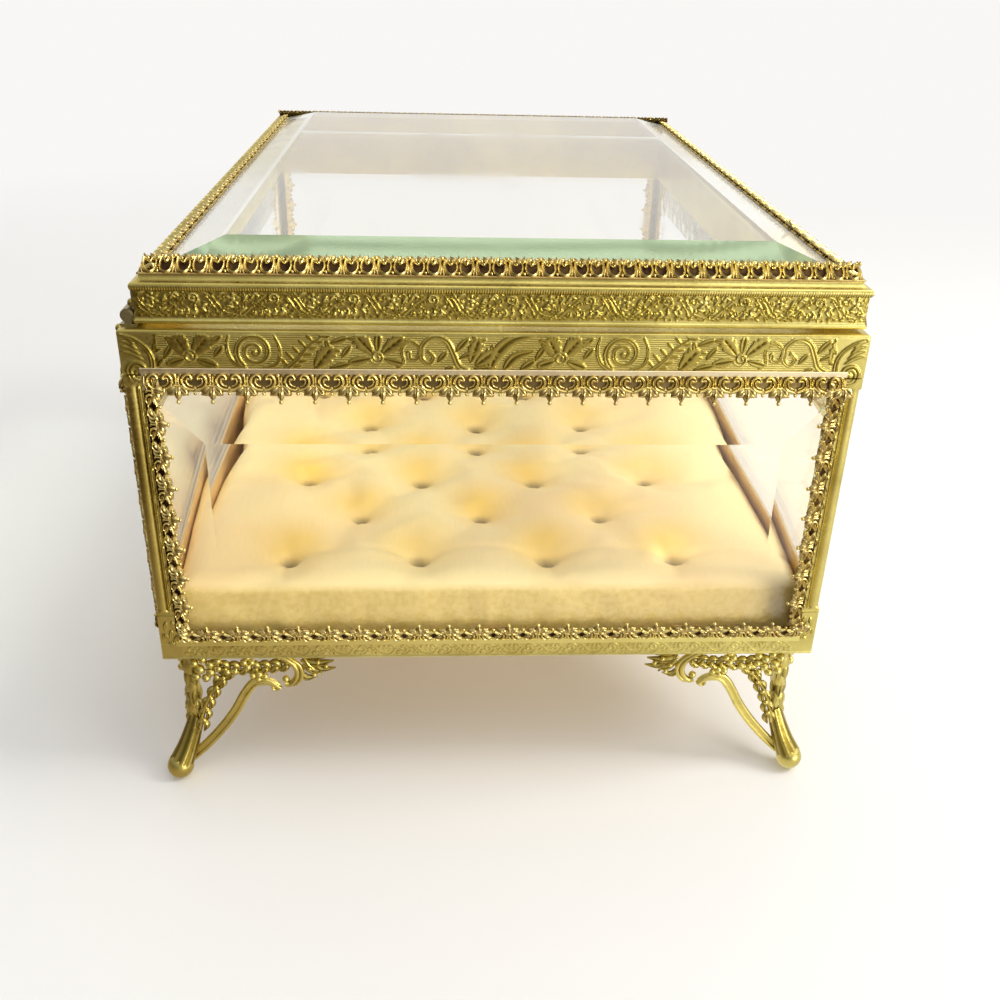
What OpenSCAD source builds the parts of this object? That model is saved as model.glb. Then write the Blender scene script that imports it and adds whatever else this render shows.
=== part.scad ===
// Glass casket on four cast feet: a sheet brass frame glazed with bevelled plate
// glass, with a bevelled glass lid hinged on its left long side and a tufted
// cushion inside. Millimetres, +Z up. The origin is on the ground, midway between
// the feet; the short end with the most ornament faces -Y.

/* [Body] */
// Width of the body across its short ends
body_w = 150; // [110:1:200]
// Depth of the body along its long sides
body_d = 216; // [150:1:280]
// Height of the body from its bottom edge to its top rim
body_h = 78; // [60:1:110]
// Thickness of the sheet brass
sheet_t = 0.8; // [0.5:0.1:1.1]
// Height of the stamped band below the top rim
top_band_h = 9.3; // [7:0.1:12]
// Height of the stamped band above the bottom edge
bottom_band_h = 4.2; // [3.8:0.1:7]
// Width of the flat ledge that the lid closes over
ledge_w = 5.5; // [4.8:0.1:8]
// Width of each corner post's leg on the face of a wall
post_leg = 4.4; // [3.6:0.1:7]
// Radius of the plain rolled bead on each corner
bead_r = 1.35; // [0.9:0.05:1.4]
// Height of the stamped block at the foot of each post
post_block_h = 12.5; // [9:0.5:18]
// Height of the scrolled corner at the head of each post
post_scroll_h = 11.2; // [10:0.2:16]

/* [Glass] */
// Thickness of the wall panes at their flat centre
glass_t = 4; // [3:0.1:6]
// Thickness of the wall panes at their edge
glass_edge_t = 2.4; // [1.6:0.1:2.9]
// Width of the bevel on the wall panes
bevel_w = 12; // [8:0.5:18]
// Thickness of the lid pane at its flat centre
lid_glass_t = 5.9; // [4:0.1:7]
// Thickness of the lid pane at its edge
lid_glass_edge_t = 1.6; // [1.2:0.1:3]
// Width of the bevel on the lid pane
lid_bevel_w = 13.5; // [8:0.5:20]
// Clearance between a pane and the metal beside it
glass_gap = 0.1; // [0.05:0.05:0.3]
// Distance from the rim down to the top edge of the wall panes
pane_top_drop = 12; // [10.5:0.5:16]

/* [Lid] */
// Distance of the lid's sides inside the body's sides
lid_inset = 2.2; // [1.5:0.1:3]
// Sideways offset of the lid away from its hinges
lid_shift = 1.3; // [0.9:0.1:1.5]
// Clearance between the rim and the lid's lower edge
lid_gap = 0.6; // [0.4:0.1:1]
// Height of the lid's side, from the rim to the top of its plate
lid_side_h = 8.6; // [7.5:0.1:12]
// Width of the lid's flat top plate, under the edge of its pane
lid_plate_w = 5.8; // [4.5:0.1:8]
// Distance of the bezel that holds the lid pane from the lid's side
bezel_in = 1.3; // [1:0.1:2]
// Radius of the beaded lip round the lid
lip_r = 0.55; // [0.4:0.05:0.8]
// Radius of the rolled lower edge of the lid
roll_r = 0.45; // [0.3:0.05:0.6]

/* [Galloon] */
// Thickness of the pierced trim
galloon_t = 0.45; // [0.3:0.05:0.8]
// Height of the trim from its flange to its tips
galloon_h = 5.6; // [4:0.1:8]
// Length of one repeat of the trim
galloon_pitch = 6.9; // [5:0.1:10]
// How far the trim laps over the sheet that carries it
galloon_lap = 0.8; // [0.5:0.1:1.2]
// Slope of the lid's trim over its pane, in degrees
lid_galloon_lean = 34; // [24:1:45]
// Height of the lid's trim, along its slope
lid_galloon_h = 5.1; // [4:0.1:7]

/* [Hinges] */
// Length of each hinge
hinge_l = 14; // [10:0.5:24]
// Distance from the body's end to the near end of each hinge
hinge_end = 2.6; // [2.4:0.1:30]
// Radius of the hinge barrel
barrel_r = 1.4; // [1:0.05:1.4]
// Radius of the hinge pin
pin_r = 0.6; // [0.4:0.05:0.8]
// Running clearance round the hinge pin
pin_clear = 0.05; // [0.02:0.01:0.1]
// Thickness of the hinge leaves
leaf_t = 0.4; // [0.3:0.05:0.5]
// Clearance between parts of the hinge that pass each other
hinge_gap = 0.3; // [0.2:0.05:0.5]
// Radius of the hinges' ball-headed rivets
rivet_r = 0.9; // [0.6:0.05:1]

/* [Feet] */
// Height of the feet under the body's bottom edge
foot_h = 34; // [26:1:48]
// Radius of each ball toe
toe_r = 3.1; // [2.4:0.1:4]
// Height of the slice cut off each toe as its flat sole
sole_cut = 0.28; // [0.15:0.01:0.5]
// Distance of each toe inside the body's faces
toe_in = 0.5; // [0:0.1:3]
// Length of each foot's wings, from the body's corner
wing_l = 39.7; // [36:0.1:50]
// Thickness of each wing
wing_t = 1.8; // [1.2:0.1:2.4]
// Distance of each wing behind the body's face
wing_in = 2; // [1.5:0.1:3]
// Distance of the fixing screws from the body's faces
screw_in = 9; // [8:0.5:14]
// Radius of the screws' shanks
screw_r = 0.8; // [0.6:0.1:1.2]

/* [Cushion] */
// Height of the cushion's top above the body's bottom edge
cushion_top = 21; // [14:0.5:30]
// Radius of the cushion's rounded top edges
cushion_round = 6; // [3:0.5:9]
// Thickness of the board under the cushion
board_t = 1.6; // [1:0.1:3]
// Clearance between the cushion and the metal round it
cushion_gap = 0.3; // [0.2:0.1:1]
// Distance between tufts across the box
tuft_pitch = 30; // [24:1:40]
// Number of rows of tufts along the box
tuft_rows = 10; // [6:1:12]
// Distance from the body's end to the first row of tufts
tuft_end = 11.5; // [11:0.5:20]
// Height of the inner strips beside the cushion
stop_h = 18.4; // [10:0.2:26]

/* [Hidden] */

$fn = 48;
eps = 0.01;

// Levels above the ground
rim_z = foot_h + body_h;
lid_plate_z = rim_z + lid_side_h;
bezel_h = lid_glass_edge_t;
bezel_t = sheet_t;

// Depths behind the outer face of a wall. The bevel rises a little where the post laps
// over it, so the pane sits back by that much.
pane_side_in = 2 * bead_r + glass_gap;
bevel_rise = (post_leg - pane_side_in) * (glass_t - glass_edge_t) / bevel_w;
pane_face = sheet_t + glass_gap + max(0, bevel_rise);
pane_back = pane_face + glass_edge_t;
lip_in = pane_back + glass_gap;
lip_t = 0.6;
strip_in = lip_in + glass_gap;
strip_t = 0.6;
flange_w = lip_in + 1.6;

// Pane sizes, and the levels of their edges above the body's bottom edge
seat_h = lip_in;
pane_z0 = seat_h;
pane_z1 = body_h - pane_top_drop;
pane_h = pane_z1 - pane_z0;
end_pane_w = body_w - 2 * pane_side_in;
side_pane_w = body_d - 2 * (pane_back + 2 * glass_gap);
lip_cover = 2;

// Lid outline
lid_w = body_w - 2 * lid_inset;
lid_d = body_d - 2 * lid_inset;
lid_pane_in = bezel_in + bezel_t + 2 * glass_gap;

// Hinge axis: the barrel stands clear of the leaf below it and of the lid beside it
lid_left = -body_w / 2 + lid_inset + lid_shift;
axis_x = lid_left - hinge_gap - barrel_r;
axis_z = rim_z + leaf_t + hinge_gap + barrel_r;
knuckle_l = (hinge_l - 2 * hinge_gap) / 3;
leaf_rise = 5.1;
pin_head_r = 0.95;
pin_head_t = 0.4;

// Base and cushion
pan_z = foot_h + sheet_t;
pan_top = pan_z + sheet_t;
pan_in = lip_in + glass_gap;
cushion_in_x = strip_in + strip_t + cushion_gap;
cushion_in_y = lip_in + 0.6 + cushion_gap;
cushion_z = pan_top + board_t;
stitch_r = 1;
stitch_h = 0.6;
tuft_shift = -1.8;
tuft_row_pitch = (body_d - 2 * tuft_end) / (tuft_rows - 1);
screw_head_r = 1.8;
screw_head_h = 0.9;
screw_clear = 0.05;

// Feet: the column stands behind both wings, and the leg slopes out to the toe
column_in = wing_in + wing_t / 2 + 1.8;
column_r = 2.1;
column_drop = 20;
toe_z = toe_r - sole_cut;
pad_t = 1.2;

// Middle of a cubic curve from a to d at t
function bez(a, b, c, d, t) =
    pow(1 - t, 3) * a + 3 * t * pow(1 - t, 2) * b + 3 * t * t * (1 - t) * c + t * t * t * d;
// Its direction at t
function bez_dir(a, b, c, d, t) =
    3 * pow(1 - t, 2) * (b - a) + 6 * t * (1 - t) * (c - b) + 3 * t * t * (d - c);
function across(v) = [-v[1], v[0]] / norm(v);

// A flat ribbon of width w along a cubic curve
module ribbon(a, b, c, d, w, steps = 9) {
    edge = [for (s = [1, -1], i = [0 : steps])
        let (t = s > 0 ? i / steps : 1 - i / steps)
        bez(a, b, c, d, t) + s * w / 2 * across(bez_dir(a, b, c, d, t))];
    polygon(edge);
}

// A round bar between two points
module rod(p, q, r) {
    v = q - p;
    translate(p)
        rotate([0, acos(v[2] / norm(v)), atan2(v[1], v[0])])
            cylinder(r = r, h = norm(v));
}

// One side of a mitred frame: the children are its profile in depth and height,
// and run along X over len, cut at 45 degrees at both ends
module mitred(len, depth, low, high) {
    reach = 2;
    intersection() {
        rotate([90, 0, 90])
            translate([0, 0, -len / 2 - reach])
                linear_extrude(len + 2 * reach) children();
        translate([0, 0, low])
            linear_extrude(high - low)
                polygon([
                    [-len / 2 - reach, -reach], [len / 2 + reach, -reach],
                    [len / 2 - depth, depth], [-len / 2 + depth, depth]
                ]);
    }
}

// Puts a side that faces -Y at the origin onto one side of a w by d frame
module on_side(side, w, d) {
    if (side == "front") translate([0, -d / 2, 0]) children();
    if (side == "back") rotate([0, 0, 180]) translate([0, -d / 2, 0]) children();
    if (side == "left") rotate([0, 0, -90]) translate([0, -w / 2, 0]) children();
    if (side == "right") rotate([0, 0, 90]) translate([0, -w / 2, 0]) children();
}
function side_len(side, w, d) = (side == "front" || side == "back") ? w : d;

// Puts a piece made at a corner, with the body towards +X and +Y, onto a corner
module on_corner(sx, sy) {
    mirror([sx > 0 ? 1 : 0, 0, 0])
        mirror([0, sy > 0 ? 1 : 0, 0])
            translate([-body_w / 2, -body_d / 2, 0]) children();
}

// A bevelled pane: w by h, lying in X and Z, with its bevelled face towards -Y
module bevelled_pane(w, h, t, edge_t, bevel) {
    intersection() {
        linear_extrude(h) pane_outline(w, t, edge_t, bevel);
        translate([-w / 2, 0, h / 2])
            rotate([90, 0, 90])
                linear_extrude(w)
                    rotate(-90) mirror([1, 0]) pane_outline(h, t, edge_t, bevel);
    }
}
// Outline of a pane's section, with its back on Y = 0
module pane_outline(w, t, edge_t, bevel) {
    polygon([
        [-w / 2, 0], [-w / 2, -edge_t], [-w / 2 + bevel, -t],
        [w / 2 - bevel, -t], [w / 2, -edge_t], [w / 2, 0]
    ]);
}

module base_pan() {
    color("darkgoldenrod")
        difference() {
            translate([-body_w / 2 + pan_in, -body_d / 2 + pan_in, pan_z])
                cube([body_w - 2 * pan_in, body_d - 2 * pan_in, sheet_t]);
            for (sx = [-1, 1], sy = [-1, 1])
                on_corner(sx, sy)
                    translate([screw_in, screw_in, pan_z - eps])
                        cylinder(r = screw_r + screw_clear, h = sheet_t + 2 * eps);
        }
}

module bottom_rail(side) {
    len = side_len(side, body_w, body_d);
    color("goldenrod")
        on_side(side, body_w, body_d)
            mitred(len, flange_w, foot_h, foot_h + bottom_band_h)
                translate([0, foot_h]) {
                    square([sheet_t, bottom_band_h]);
                    square([flange_w, sheet_t]);
                    square([seat_h, seat_h]);
                }
}

module top_rail(side) {
    len = side_len(side, body_w, body_d);
    drop = pane_top_drop + lip_cover;
    color("goldenrod")
        on_side(side, body_w, body_d)
            mitred(len, ledge_w, rim_z - drop, rim_z)
                translate([0, rim_z]) {
                    translate([0, -top_band_h]) square([sheet_t, top_band_h]);
                    translate([0, -sheet_t]) square([ledge_w, sheet_t]);
                    translate([lip_in, -drop]) square([lip_t, drop]);
                }
}

module corner_post(sx, sy) {
    z0 = foot_h + bottom_band_h;
    z1 = rim_z - top_band_h;
    bead_z0 = foot_h + post_block_h;
    bead_z1 = rim_z - post_scroll_h;
    color("goldenrod")
        on_corner(sx, sy) {
            difference() {
                translate([0, 0, z0])
                    linear_extrude(z1 - z0) {
                        square([post_leg, sheet_t]);
                        square([sheet_t, post_leg]);
                    }
                translate([-eps, -eps, bead_z0])
                    cube([2 * bead_r - 0.3, 2 * bead_r - 0.3, bead_z1 - bead_z0]);
            }
            translate([bead_r, bead_r, bead_z0])
                cylinder(r = bead_r, h = bead_z1 - bead_z0);
        }
}

module wall_glass(side) {
    w = side == "front" || side == "back" ? end_pane_w : side_pane_w;
    color("lightcyan", 0.4)
        on_side(side, body_w, body_d)
            translate([0, pane_back, foot_h + pane_z0])
                bevelled_pane(w, pane_h, glass_t, glass_edge_t, bevel_w);
}

// Scalloped strip: its flange on Y = 0, its rings and leaf tips towards -Y.
// Each repeat is a blunt ring and a pointed leaf, as shares of the pitch and height.
module galloon_strip(len, h) {
    n = max(2, round(len / galloon_pitch));
    p = len / n;
    ring_and_leaf = [
        [0.02, 0.56], [0.16, 0.8], [0.34, 0.8], [0.48, 0.56],
        [0.64, 0.7], [0.75, 1], [0.86, 0.7]
    ];
    polygon(concat(
        [[len / 2, 0], [-len / 2, 0]],
        [for (i = [0 : n - 1], q = ring_and_leaf) [-len / 2 + (i + q[0]) * p, -h * q[1]]],
        [[len / 2, -h * 0.56]]
    ));
}

// Trim round one window: four strips that point in over the pane
module window_galloon(side) {
    wall = side_len(side, body_w, body_d);
    z_top = body_h - top_band_h + galloon_lap;
    z_bottom = bottom_band_h - galloon_lap;
    x_side = wall / 2 - post_leg + 2 * galloon_lap;
    upright = z_top - z_bottom - 2 * galloon_h;
    color("darkgoldenrod")
        on_side(side, body_w, body_d)
            translate([0, 0, foot_h])
                rotate([90, 0, 0])
                    linear_extrude(galloon_t) {
                        translate([0, z_top]) galloon_strip(2 * x_side, galloon_h);
                        translate([0, z_bottom]) rotate(180) galloon_strip(2 * x_side, galloon_h);
                        for (s = [-1, 1])
                            translate([s * x_side, (z_top + z_bottom) / 2])
                                rotate(s > 0 ? -90 : 90) galloon_strip(upright, galloon_h);
                    }
}

// Upright tabs that keep the end panes from falling in
module glass_clips() {
    tab_w = 6;
    tab_h = 5;
    color("darkgoldenrod")
        for (side = ["front", "back"], x = [-0.3, 0, 0.3])
            on_side(side, body_w, body_d)
                translate([x * body_w - tab_w / 2, lip_in + glass_gap, pan_top])
                    cube([tab_w, lip_t - glass_gap, tab_h]);
}

module inner_strip(side) {
    len = body_d - 2 * (lip_in + lip_t + glass_gap);
    color("peru")
        on_side(side, body_w, body_d)
            translate([-len / 2, strip_in, pan_top])
                cube([len, strip_t, stop_h]);
}

// One wing of a foot, in length from the corner and drop below the body
module wing_outline() {
    flange = 1.2;
    difference() {
        union() {
            translate([column_in, -flange]) square([wing_l - column_in, flange]);
            translate([26, -5.2]) circle(r = 4.4);
            translate([column_in, -5.6]) square([24, 2.2]);
            translate([17.5, -4.2]) circle(r = 2.4);
            translate([16.6, -4.2]) square([2, 4.2]);
            translate([7, -5.5]) circle(r = 2.8);
            polygon([
                [29, 0], [wing_l, 0], [wing_l - 1.1, -4.2], [wing_l - 4.2, -6.2], [29, -7.8]
            ]);
        }
        translate([25.6, -6.9]) circle(r = 1.9);
        translate([26.2, -2.5]) circle(r = 0.9);
    }
    ribbon([25, -9.3], [17, -7.2], [13.5, -16], [2.8, -foot_h + 5.6], 1.7);
    ribbon([15, -5.6], [9.6, -8], [6.6, -13], [column_in + 0.6, -column_drop], 2.2);
}

module foot(sx, sy) {
    knee = [column_in, column_in, foot_h - column_drop];
    toe = [toe_in, toe_in, toe_z];
    color("gold")
        on_corner(sx, sy)
            difference() {
                union() {
                    for (m = [0, 1])
                        mirror([m, -m, 0])
                            translate([0, wing_in + wing_t, foot_h])
                                rotate([90, 0, 0]) linear_extrude(wing_t) wing_outline();
                    translate([column_in, column_in, foot_h - column_drop])
                        cylinder(r = column_r, h = column_drop);
                    translate(knee) sphere(r = column_r);
                    rod(knee, toe, 2);
                    translate(toe) sphere(r = toe_r);
                    translate([wing_in, wing_in, foot_h - pad_t])
                        cube([screw_in + 2, screw_in + 2, pad_t]);
                    translate([screw_in, screw_in, foot_h - pad_t])
                        cylinder(r = 2.6, h = pad_t + sheet_t);
                }
                translate([screw_in, screw_in, foot_h - pad_t - eps])
                    cylinder(r = screw_r + screw_clear, h = pad_t + sheet_t + 2 * eps);
                translate([toe_in - 5, toe_in - 5, -10]) cube([10, 10, 10]);
            }
}

module foot_screws() {
    color("gray")
        for (sx = [-1, 1], sy = [-1, 1])
            on_corner(sx, sy)
                translate([screw_in, screw_in, foot_h - pad_t]) {
                    cylinder(r = screw_r, h = pan_top - foot_h + pad_t + eps);
                    translate([0, 0, pan_top - foot_h + pad_t])
                        cylinder(r = screw_head_r, h = screw_head_h);
                }
}

module cushion_board() {
    color("saddlebrown")
        difference() {
            translate([-body_w / 2 + cushion_in_x, -body_d / 2 + cushion_in_y, pan_top])
                cube([body_w - 2 * cushion_in_x, body_d - 2 * cushion_in_y, board_t]);
            for (sx = [-1, 1], sy = [-1, 1])
                on_corner(sx, sy)
                    translate([screw_in, screw_in, pan_top - eps])
                        cylinder(r = screw_head_r + cushion_gap, h = board_t + 2 * eps);
        }
}

// Section of the cushion: w wide, with rounded top edges
module cushion_section(w, h) {
    r = cushion_round;
    polygon(concat(
        [[-w / 2, 0], [w / 2, 0]],
        [for (a = [0 : 15 : 90]) [w / 2 - r + r * cos(a), h - r + r * sin(a)]],
        [for (a = [90 : 15 : 180]) [-w / 2 + r + r * cos(a), h - r + r * sin(a)]]
    ));
}

module cushion() {
    w = body_w - 2 * cushion_in_x;
    d = body_d - 2 * cushion_in_y;
    h = foot_h + cushion_top - cushion_z;
    color("khaki")
        translate([0, 0, cushion_z])
            intersection() {
                translate([0, d / 2, 0])
                    rotate([90, 0, 0]) linear_extrude(d) cushion_section(w, h);
                translate([-w / 2, 0, 0])
                    rotate([90, 0, 90]) linear_extrude(w) cushion_section(d, h);
            }
}

// The knots of the tufting, four and three to a row by turns
module tuft_stitches() {
    color("sienna")
        for (row = [0 : tuft_rows - 1]) {
            count = row % 2 == 0 ? 4 : 3;
            for (i = [0 : count - 1])
                translate([
                    tuft_shift + (i - (count - 1) / 2) * tuft_pitch,
                    -body_d / 2 + tuft_end + row * tuft_row_pitch,
                    foot_h + cushion_top
                ])
                    cylinder(r = stitch_r, h = stitch_h);
        }
}

// Near end of a hinge along Y: the front one, or the back one at the far end
function hinge_y(end) =
    end == "front" ? -body_d / 2 + hinge_end : body_d / 2 - hinge_end - hinge_l;

module knuckle(end, i) {
    translate([axis_x, hinge_y(end) + i * (knuckle_l + hinge_gap), axis_z])
        rotate([-90, 0, 0]) cylinder(r = barrel_r, h = knuckle_l);
}
module pin_bore(end) {
    translate([axis_x, hinge_y(end) - 1, axis_z])
        rotate([-90, 0, 0]) cylinder(r = pin_r + pin_clear, h = hinge_l + 2);
}

// Leaf on the ledge, with the two outer knuckles
module hinge_body_leaf(end) {
    leaf_x = -body_w / 2 + 0.2;
    color("darkkhaki")
        difference() {
            union() {
                translate([leaf_x, hinge_y(end), rim_z])
                    cube([lid_left - hinge_gap - leaf_x, hinge_l, leaf_t]);
                for (i = [0, 2]) {
                    knuckle(end, i);
                    translate([axis_x - barrel_r / 2,
                               hinge_y(end) + i * (knuckle_l + hinge_gap), rim_z])
                        cube([barrel_r, knuckle_l, axis_z - rim_z]);
                }
            }
            pin_bore(end);
        }
}

// Leaf up the lid's side, with the middle knuckle
module hinge_lid_leaf(end) {
    plate_t = leaf_t + 0.1;
    plate_z = axis_z + barrel_r - 0.1;
    link_t = 0.5;
    color("darkkhaki")
        difference() {
            union() {
                translate([lid_left - plate_t, hinge_y(end), plate_z])
                    cube([plate_t, hinge_l, leaf_rise - barrel_r]);
                knuckle(end, 1);
                translate([axis_x, hinge_y(end) + knuckle_l + hinge_gap,
                           axis_z + barrel_r - link_t])
                    cube([lid_left - axis_x, knuckle_l, link_t]);
            }
            pin_bore(end);
        }
}

module hinge_pin(end) {
    color("gray")
        translate([axis_x, hinge_y(end), axis_z])
            rotate([-90, 0, 0]) {
                cylinder(r = pin_r, h = hinge_l);
                for (z = [-pin_head_t, hinge_l])
                    translate([0, 0, z]) cylinder(r = pin_head_r, h = pin_head_t);
            }
}

// A ball head that stands out from a face towards -X
module rivet_head(x, y, z) {
    translate([x, y, z])
        rotate([0, -90, 0])
            rotate_extrude()
                intersection() {
                    translate([0, rivet_r / 3]) circle(r = rivet_r);
                    square([rivet_r, 2 * rivet_r]);
                }
}
module hinge_rivets(x, z) {
    rivet_in = 1.4;
    color("goldenrod")
        for (end = ["front", "back"], y = [rivet_in, hinge_l - rivet_in])
            rivet_head(x, hinge_y(end) + y, z);
}
module hinge_body_rivets() hinge_rivets(-body_w / 2, rim_z - rivet_r);
module hinge_lid_rivets() hinge_rivets(lid_left - leaf_t - 0.1, rim_z + lid_side_h / 2);

module lid_rail(side) {
    len = side_len(side, lid_w, lid_d);
    color("goldenrod")
        translate([lid_shift, 0, 0])
            on_side(side, lid_w, lid_d)
                mitred(len, lid_plate_w, rim_z + lid_gap, lid_plate_z + bezel_h)
                    translate([0, rim_z]) {
                        translate([0, lid_gap]) square([sheet_t, lid_side_h - lid_gap]);
                        translate([0, lid_side_h - sheet_t]) square([lid_plate_w, sheet_t]);
                        translate([bezel_in, lid_side_h - eps]) square([bezel_t, bezel_h + eps]);
                        translate([0, lid_side_h - lip_r]) circle(r = lip_r);
                        translate([roll_r / 4, lid_gap + roll_r]) circle(r = roll_r);
                    }
}

module lid_glass() {
    w = lid_w - 2 * lid_pane_in;
    d = lid_d - 2 * lid_pane_in;
    color("lightcyan", 0.4)
        translate([lid_shift, -d / 2, lid_plate_z])
            rotate([-90, 0, 0])
                bevelled_pane(w, d, lid_glass_t, lid_glass_edge_t, lid_bevel_w);
}

// Trim on the lid's bezel: a flange, and scallops that lean in over the pane
module lid_galloon(side) {
    len = side_len(side, lid_w, lid_d) - 2 * bezel_in;
    lean_w = lid_galloon_h * cos(lid_galloon_lean);
    color("darkgoldenrod")
        translate([lid_shift, 0, 0])
            on_side(side, lid_w, lid_d)
                translate([0, bezel_in, lid_plate_z + bezel_h]) {
                    translate([-len / 2 + bezel_t, 0, 0])
                        cube([len - 2 * bezel_t, bezel_t, galloon_t]);
                    intersection() {
                        rotate([lid_galloon_lean, 0, 0])
                            linear_extrude(galloon_t)
                                mirror([0, 1]) galloon_strip(len, lid_galloon_h);
                        linear_extrude(2 * lid_galloon_h)
                            polygon([
                                [-len / 2, 0], [len / 2, 0],
                                [len / 2 - 1.1 * lean_w, 1.1 * lean_w],
                                [-len / 2 + 1.1 * lean_w, 1.1 * lean_w]
                            ]);
                    }
                }
}

base_pan();
bottom_rail("front");  // bottom_rail_front
bottom_rail("back");  // bottom_rail_back
bottom_rail("left");  // bottom_rail_left
bottom_rail("right");  // bottom_rail_right
corner_post(-1, -1);  // corner_post_front_left
corner_post(1, -1);  // corner_post_front_right
corner_post(-1, 1);  // corner_post_back_left
corner_post(1, 1);  // corner_post_back_right
top_rail("front");  // top_rail_front
top_rail("back");  // top_rail_back
top_rail("left");  // top_rail_left
top_rail("right");  // top_rail_right
wall_glass("front");  // glass_front
wall_glass("back");  // glass_back
wall_glass("left");  // glass_left
wall_glass("right");  // glass_right
window_galloon("front");  // galloon_front
window_galloon("back");  // galloon_back
window_galloon("left");  // galloon_left
window_galloon("right");  // galloon_right
glass_clips();
inner_strip("left");  // inner_strip_left
inner_strip("right");  // inner_strip_right
foot(-1, -1);  // foot_front_left
foot(1, -1);  // foot_front_right
foot(-1, 1);  // foot_back_left
foot(1, 1);  // foot_back_right
foot_screws();
cushion_board();
cushion();
tuft_stitches();
hinge_body_leaf("front");  // hinge_body_leaf_front
hinge_body_leaf("back");  // hinge_body_leaf_back
hinge_pin("front");  // hinge_pin_front
hinge_pin("back");  // hinge_pin_back
hinge_body_rivets();
lid_rail("front");  // lid_rail_front
lid_rail("back");  // lid_rail_back
lid_rail("left");  // lid_rail_left
lid_rail("right");  // lid_rail_right
lid_glass();
lid_galloon("front");  // lid_galloon_front
lid_galloon("back");  // lid_galloon_back
lid_galloon("left");  // lid_galloon_left
lid_galloon("right");  // lid_galloon_right
hinge_lid_leaf("front");  // hinge_lid_leaf_front
hinge_lid_leaf("back");  // hinge_lid_leaf_back
hinge_lid_rivets();
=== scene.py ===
"""Gilt brass casket with bevelled glass and a tufted satin cushion, on the CAD frame."""
import math

import bpy
import numpy as np
from mathutils import Matrix, Vector

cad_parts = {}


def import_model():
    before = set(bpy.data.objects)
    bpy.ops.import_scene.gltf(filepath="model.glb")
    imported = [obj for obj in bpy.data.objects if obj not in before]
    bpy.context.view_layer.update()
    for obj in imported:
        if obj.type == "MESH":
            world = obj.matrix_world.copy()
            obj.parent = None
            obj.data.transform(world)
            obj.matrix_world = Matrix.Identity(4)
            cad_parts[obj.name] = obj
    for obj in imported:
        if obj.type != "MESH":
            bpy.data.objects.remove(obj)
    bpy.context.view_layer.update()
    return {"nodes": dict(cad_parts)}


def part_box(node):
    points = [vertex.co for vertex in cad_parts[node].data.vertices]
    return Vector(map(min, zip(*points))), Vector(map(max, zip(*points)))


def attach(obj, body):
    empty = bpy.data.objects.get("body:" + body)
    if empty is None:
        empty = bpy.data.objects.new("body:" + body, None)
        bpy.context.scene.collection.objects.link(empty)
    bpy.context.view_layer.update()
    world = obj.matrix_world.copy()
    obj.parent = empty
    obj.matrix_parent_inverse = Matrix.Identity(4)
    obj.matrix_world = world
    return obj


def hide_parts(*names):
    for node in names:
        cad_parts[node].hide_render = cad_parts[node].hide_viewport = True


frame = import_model()

# Lengths in this script are millimetres; make() turns them into metres.
MM = 0.001
CORNERS = {"front_left": (-1, -1), "front_right": (1, -1), "back_left": (-1, 1), "back_right": (1, 1)}
# The way along each side, with the inside of the box at its left
ALONG = {"front": (1, 0), "back": (-1, 0), "left": (0, -1), "right": (0, 1)}


def node_box(name):
    """Lowest and highest corner of a CAD node, in millimetres."""
    low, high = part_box(name)
    return np.array(low) / MM, np.array(high) / MM


# Sizes from the frame
BODY_LOW, BODY_HIGH = node_box("top_rail_left")
BODY_LOW[0] = node_box("bottom_rail_front")[0][0]
BODY_W = -2 * BODY_LOW[0]
BODY_D = BODY_HIGH[1] - BODY_LOW[1]
BASE_Z = node_box("bottom_rail_front")[0][2]
BASE_BAND_Z = node_box("bottom_rail_front")[1][2]
BAND_Z = node_box("corner_post_front_left")[1][2]
RIM_Z = BODY_HIGH[2]
LIP_Z = BODY_LOW[2]
LEDGE_W = BODY_HIGH[0] - BODY_LOW[0]
FLANGE_W = node_box("bottom_rail_left")[1][0] - BODY_LOW[0]
LIP_IN = node_box("glass_front")[1][1] + BODY_D / 2 + 0.1
LID_LOW, LID_HIGH = node_box("lid_rail_front")
LID_PANE_LOW, LID_PANE_HIGH = node_box("lid_glass")
BOLSTER_LOW, BOLSTER_HIGH = node_box("cushion")

# Sheet brass
SHEET = 0.8
LIP_T = 0.6
BAND_CELL = 0.17
BASE_CELL = 0.24
FACE_STEP = 0.14
HATCH_PITCH = 0.45
STAMP_DEPTH = 0.3
HATCHED = 1.5

# Corner posts
BEAD_R = 1.35
POST_FACE = 4.9
BEAD_Z0 = BASE_Z + 12.5
BEAD_Z1 = RIM_Z - 11.4
HEAD_Z = RIM_Z - 12.6
HEAD_W = 6.9

# Lid
ROLL_R = 0.5
LIP_R = 0.55
LID_PLATE_W = 5.8
BEZEL_IN = 1.3
LID_X = (LID_PANE_LOW[0] + LID_PANE_HIGH[0]) / 2
LID_PLATE_Z = LID_PANE_LOW[2]
BEZEL_Z = LID_HIGH[2]
LID_SIDE_X = BEZEL_IN + 1.0
LID_W = LID_PANE_HIGH[0] - LID_PANE_LOW[0] + 2 * LID_SIDE_X
LID_D = LID_PANE_HIGH[1] - LID_PANE_LOW[1] + 2 * LID_SIDE_X

# Repeats of the pierced trim; both motifs are drawn TRIM_PITCH wide
TRIM_PITCH = 6.9
LID_TRIM_PITCH = 6.4
NECK = TRIM_PITCH / 2
# How far the trims lean out, in degrees
TRIM_LEAN, LONG_SIDE_LEAN, LID_END_LEAN = 13, 24, 40


# ---- mesh tools

def ramp(value, span):
    """0 below zero, rising to 1 at the span."""
    return np.clip(value / span, 0, 1)


def bell(value, width):
    return np.exp(-(value / width) ** 2)


def unit(rows):
    """The rows, each scaled to a length of one."""
    return rows / (np.linalg.norm(rows, axis=1)[:, None] + 1e-12)


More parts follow.
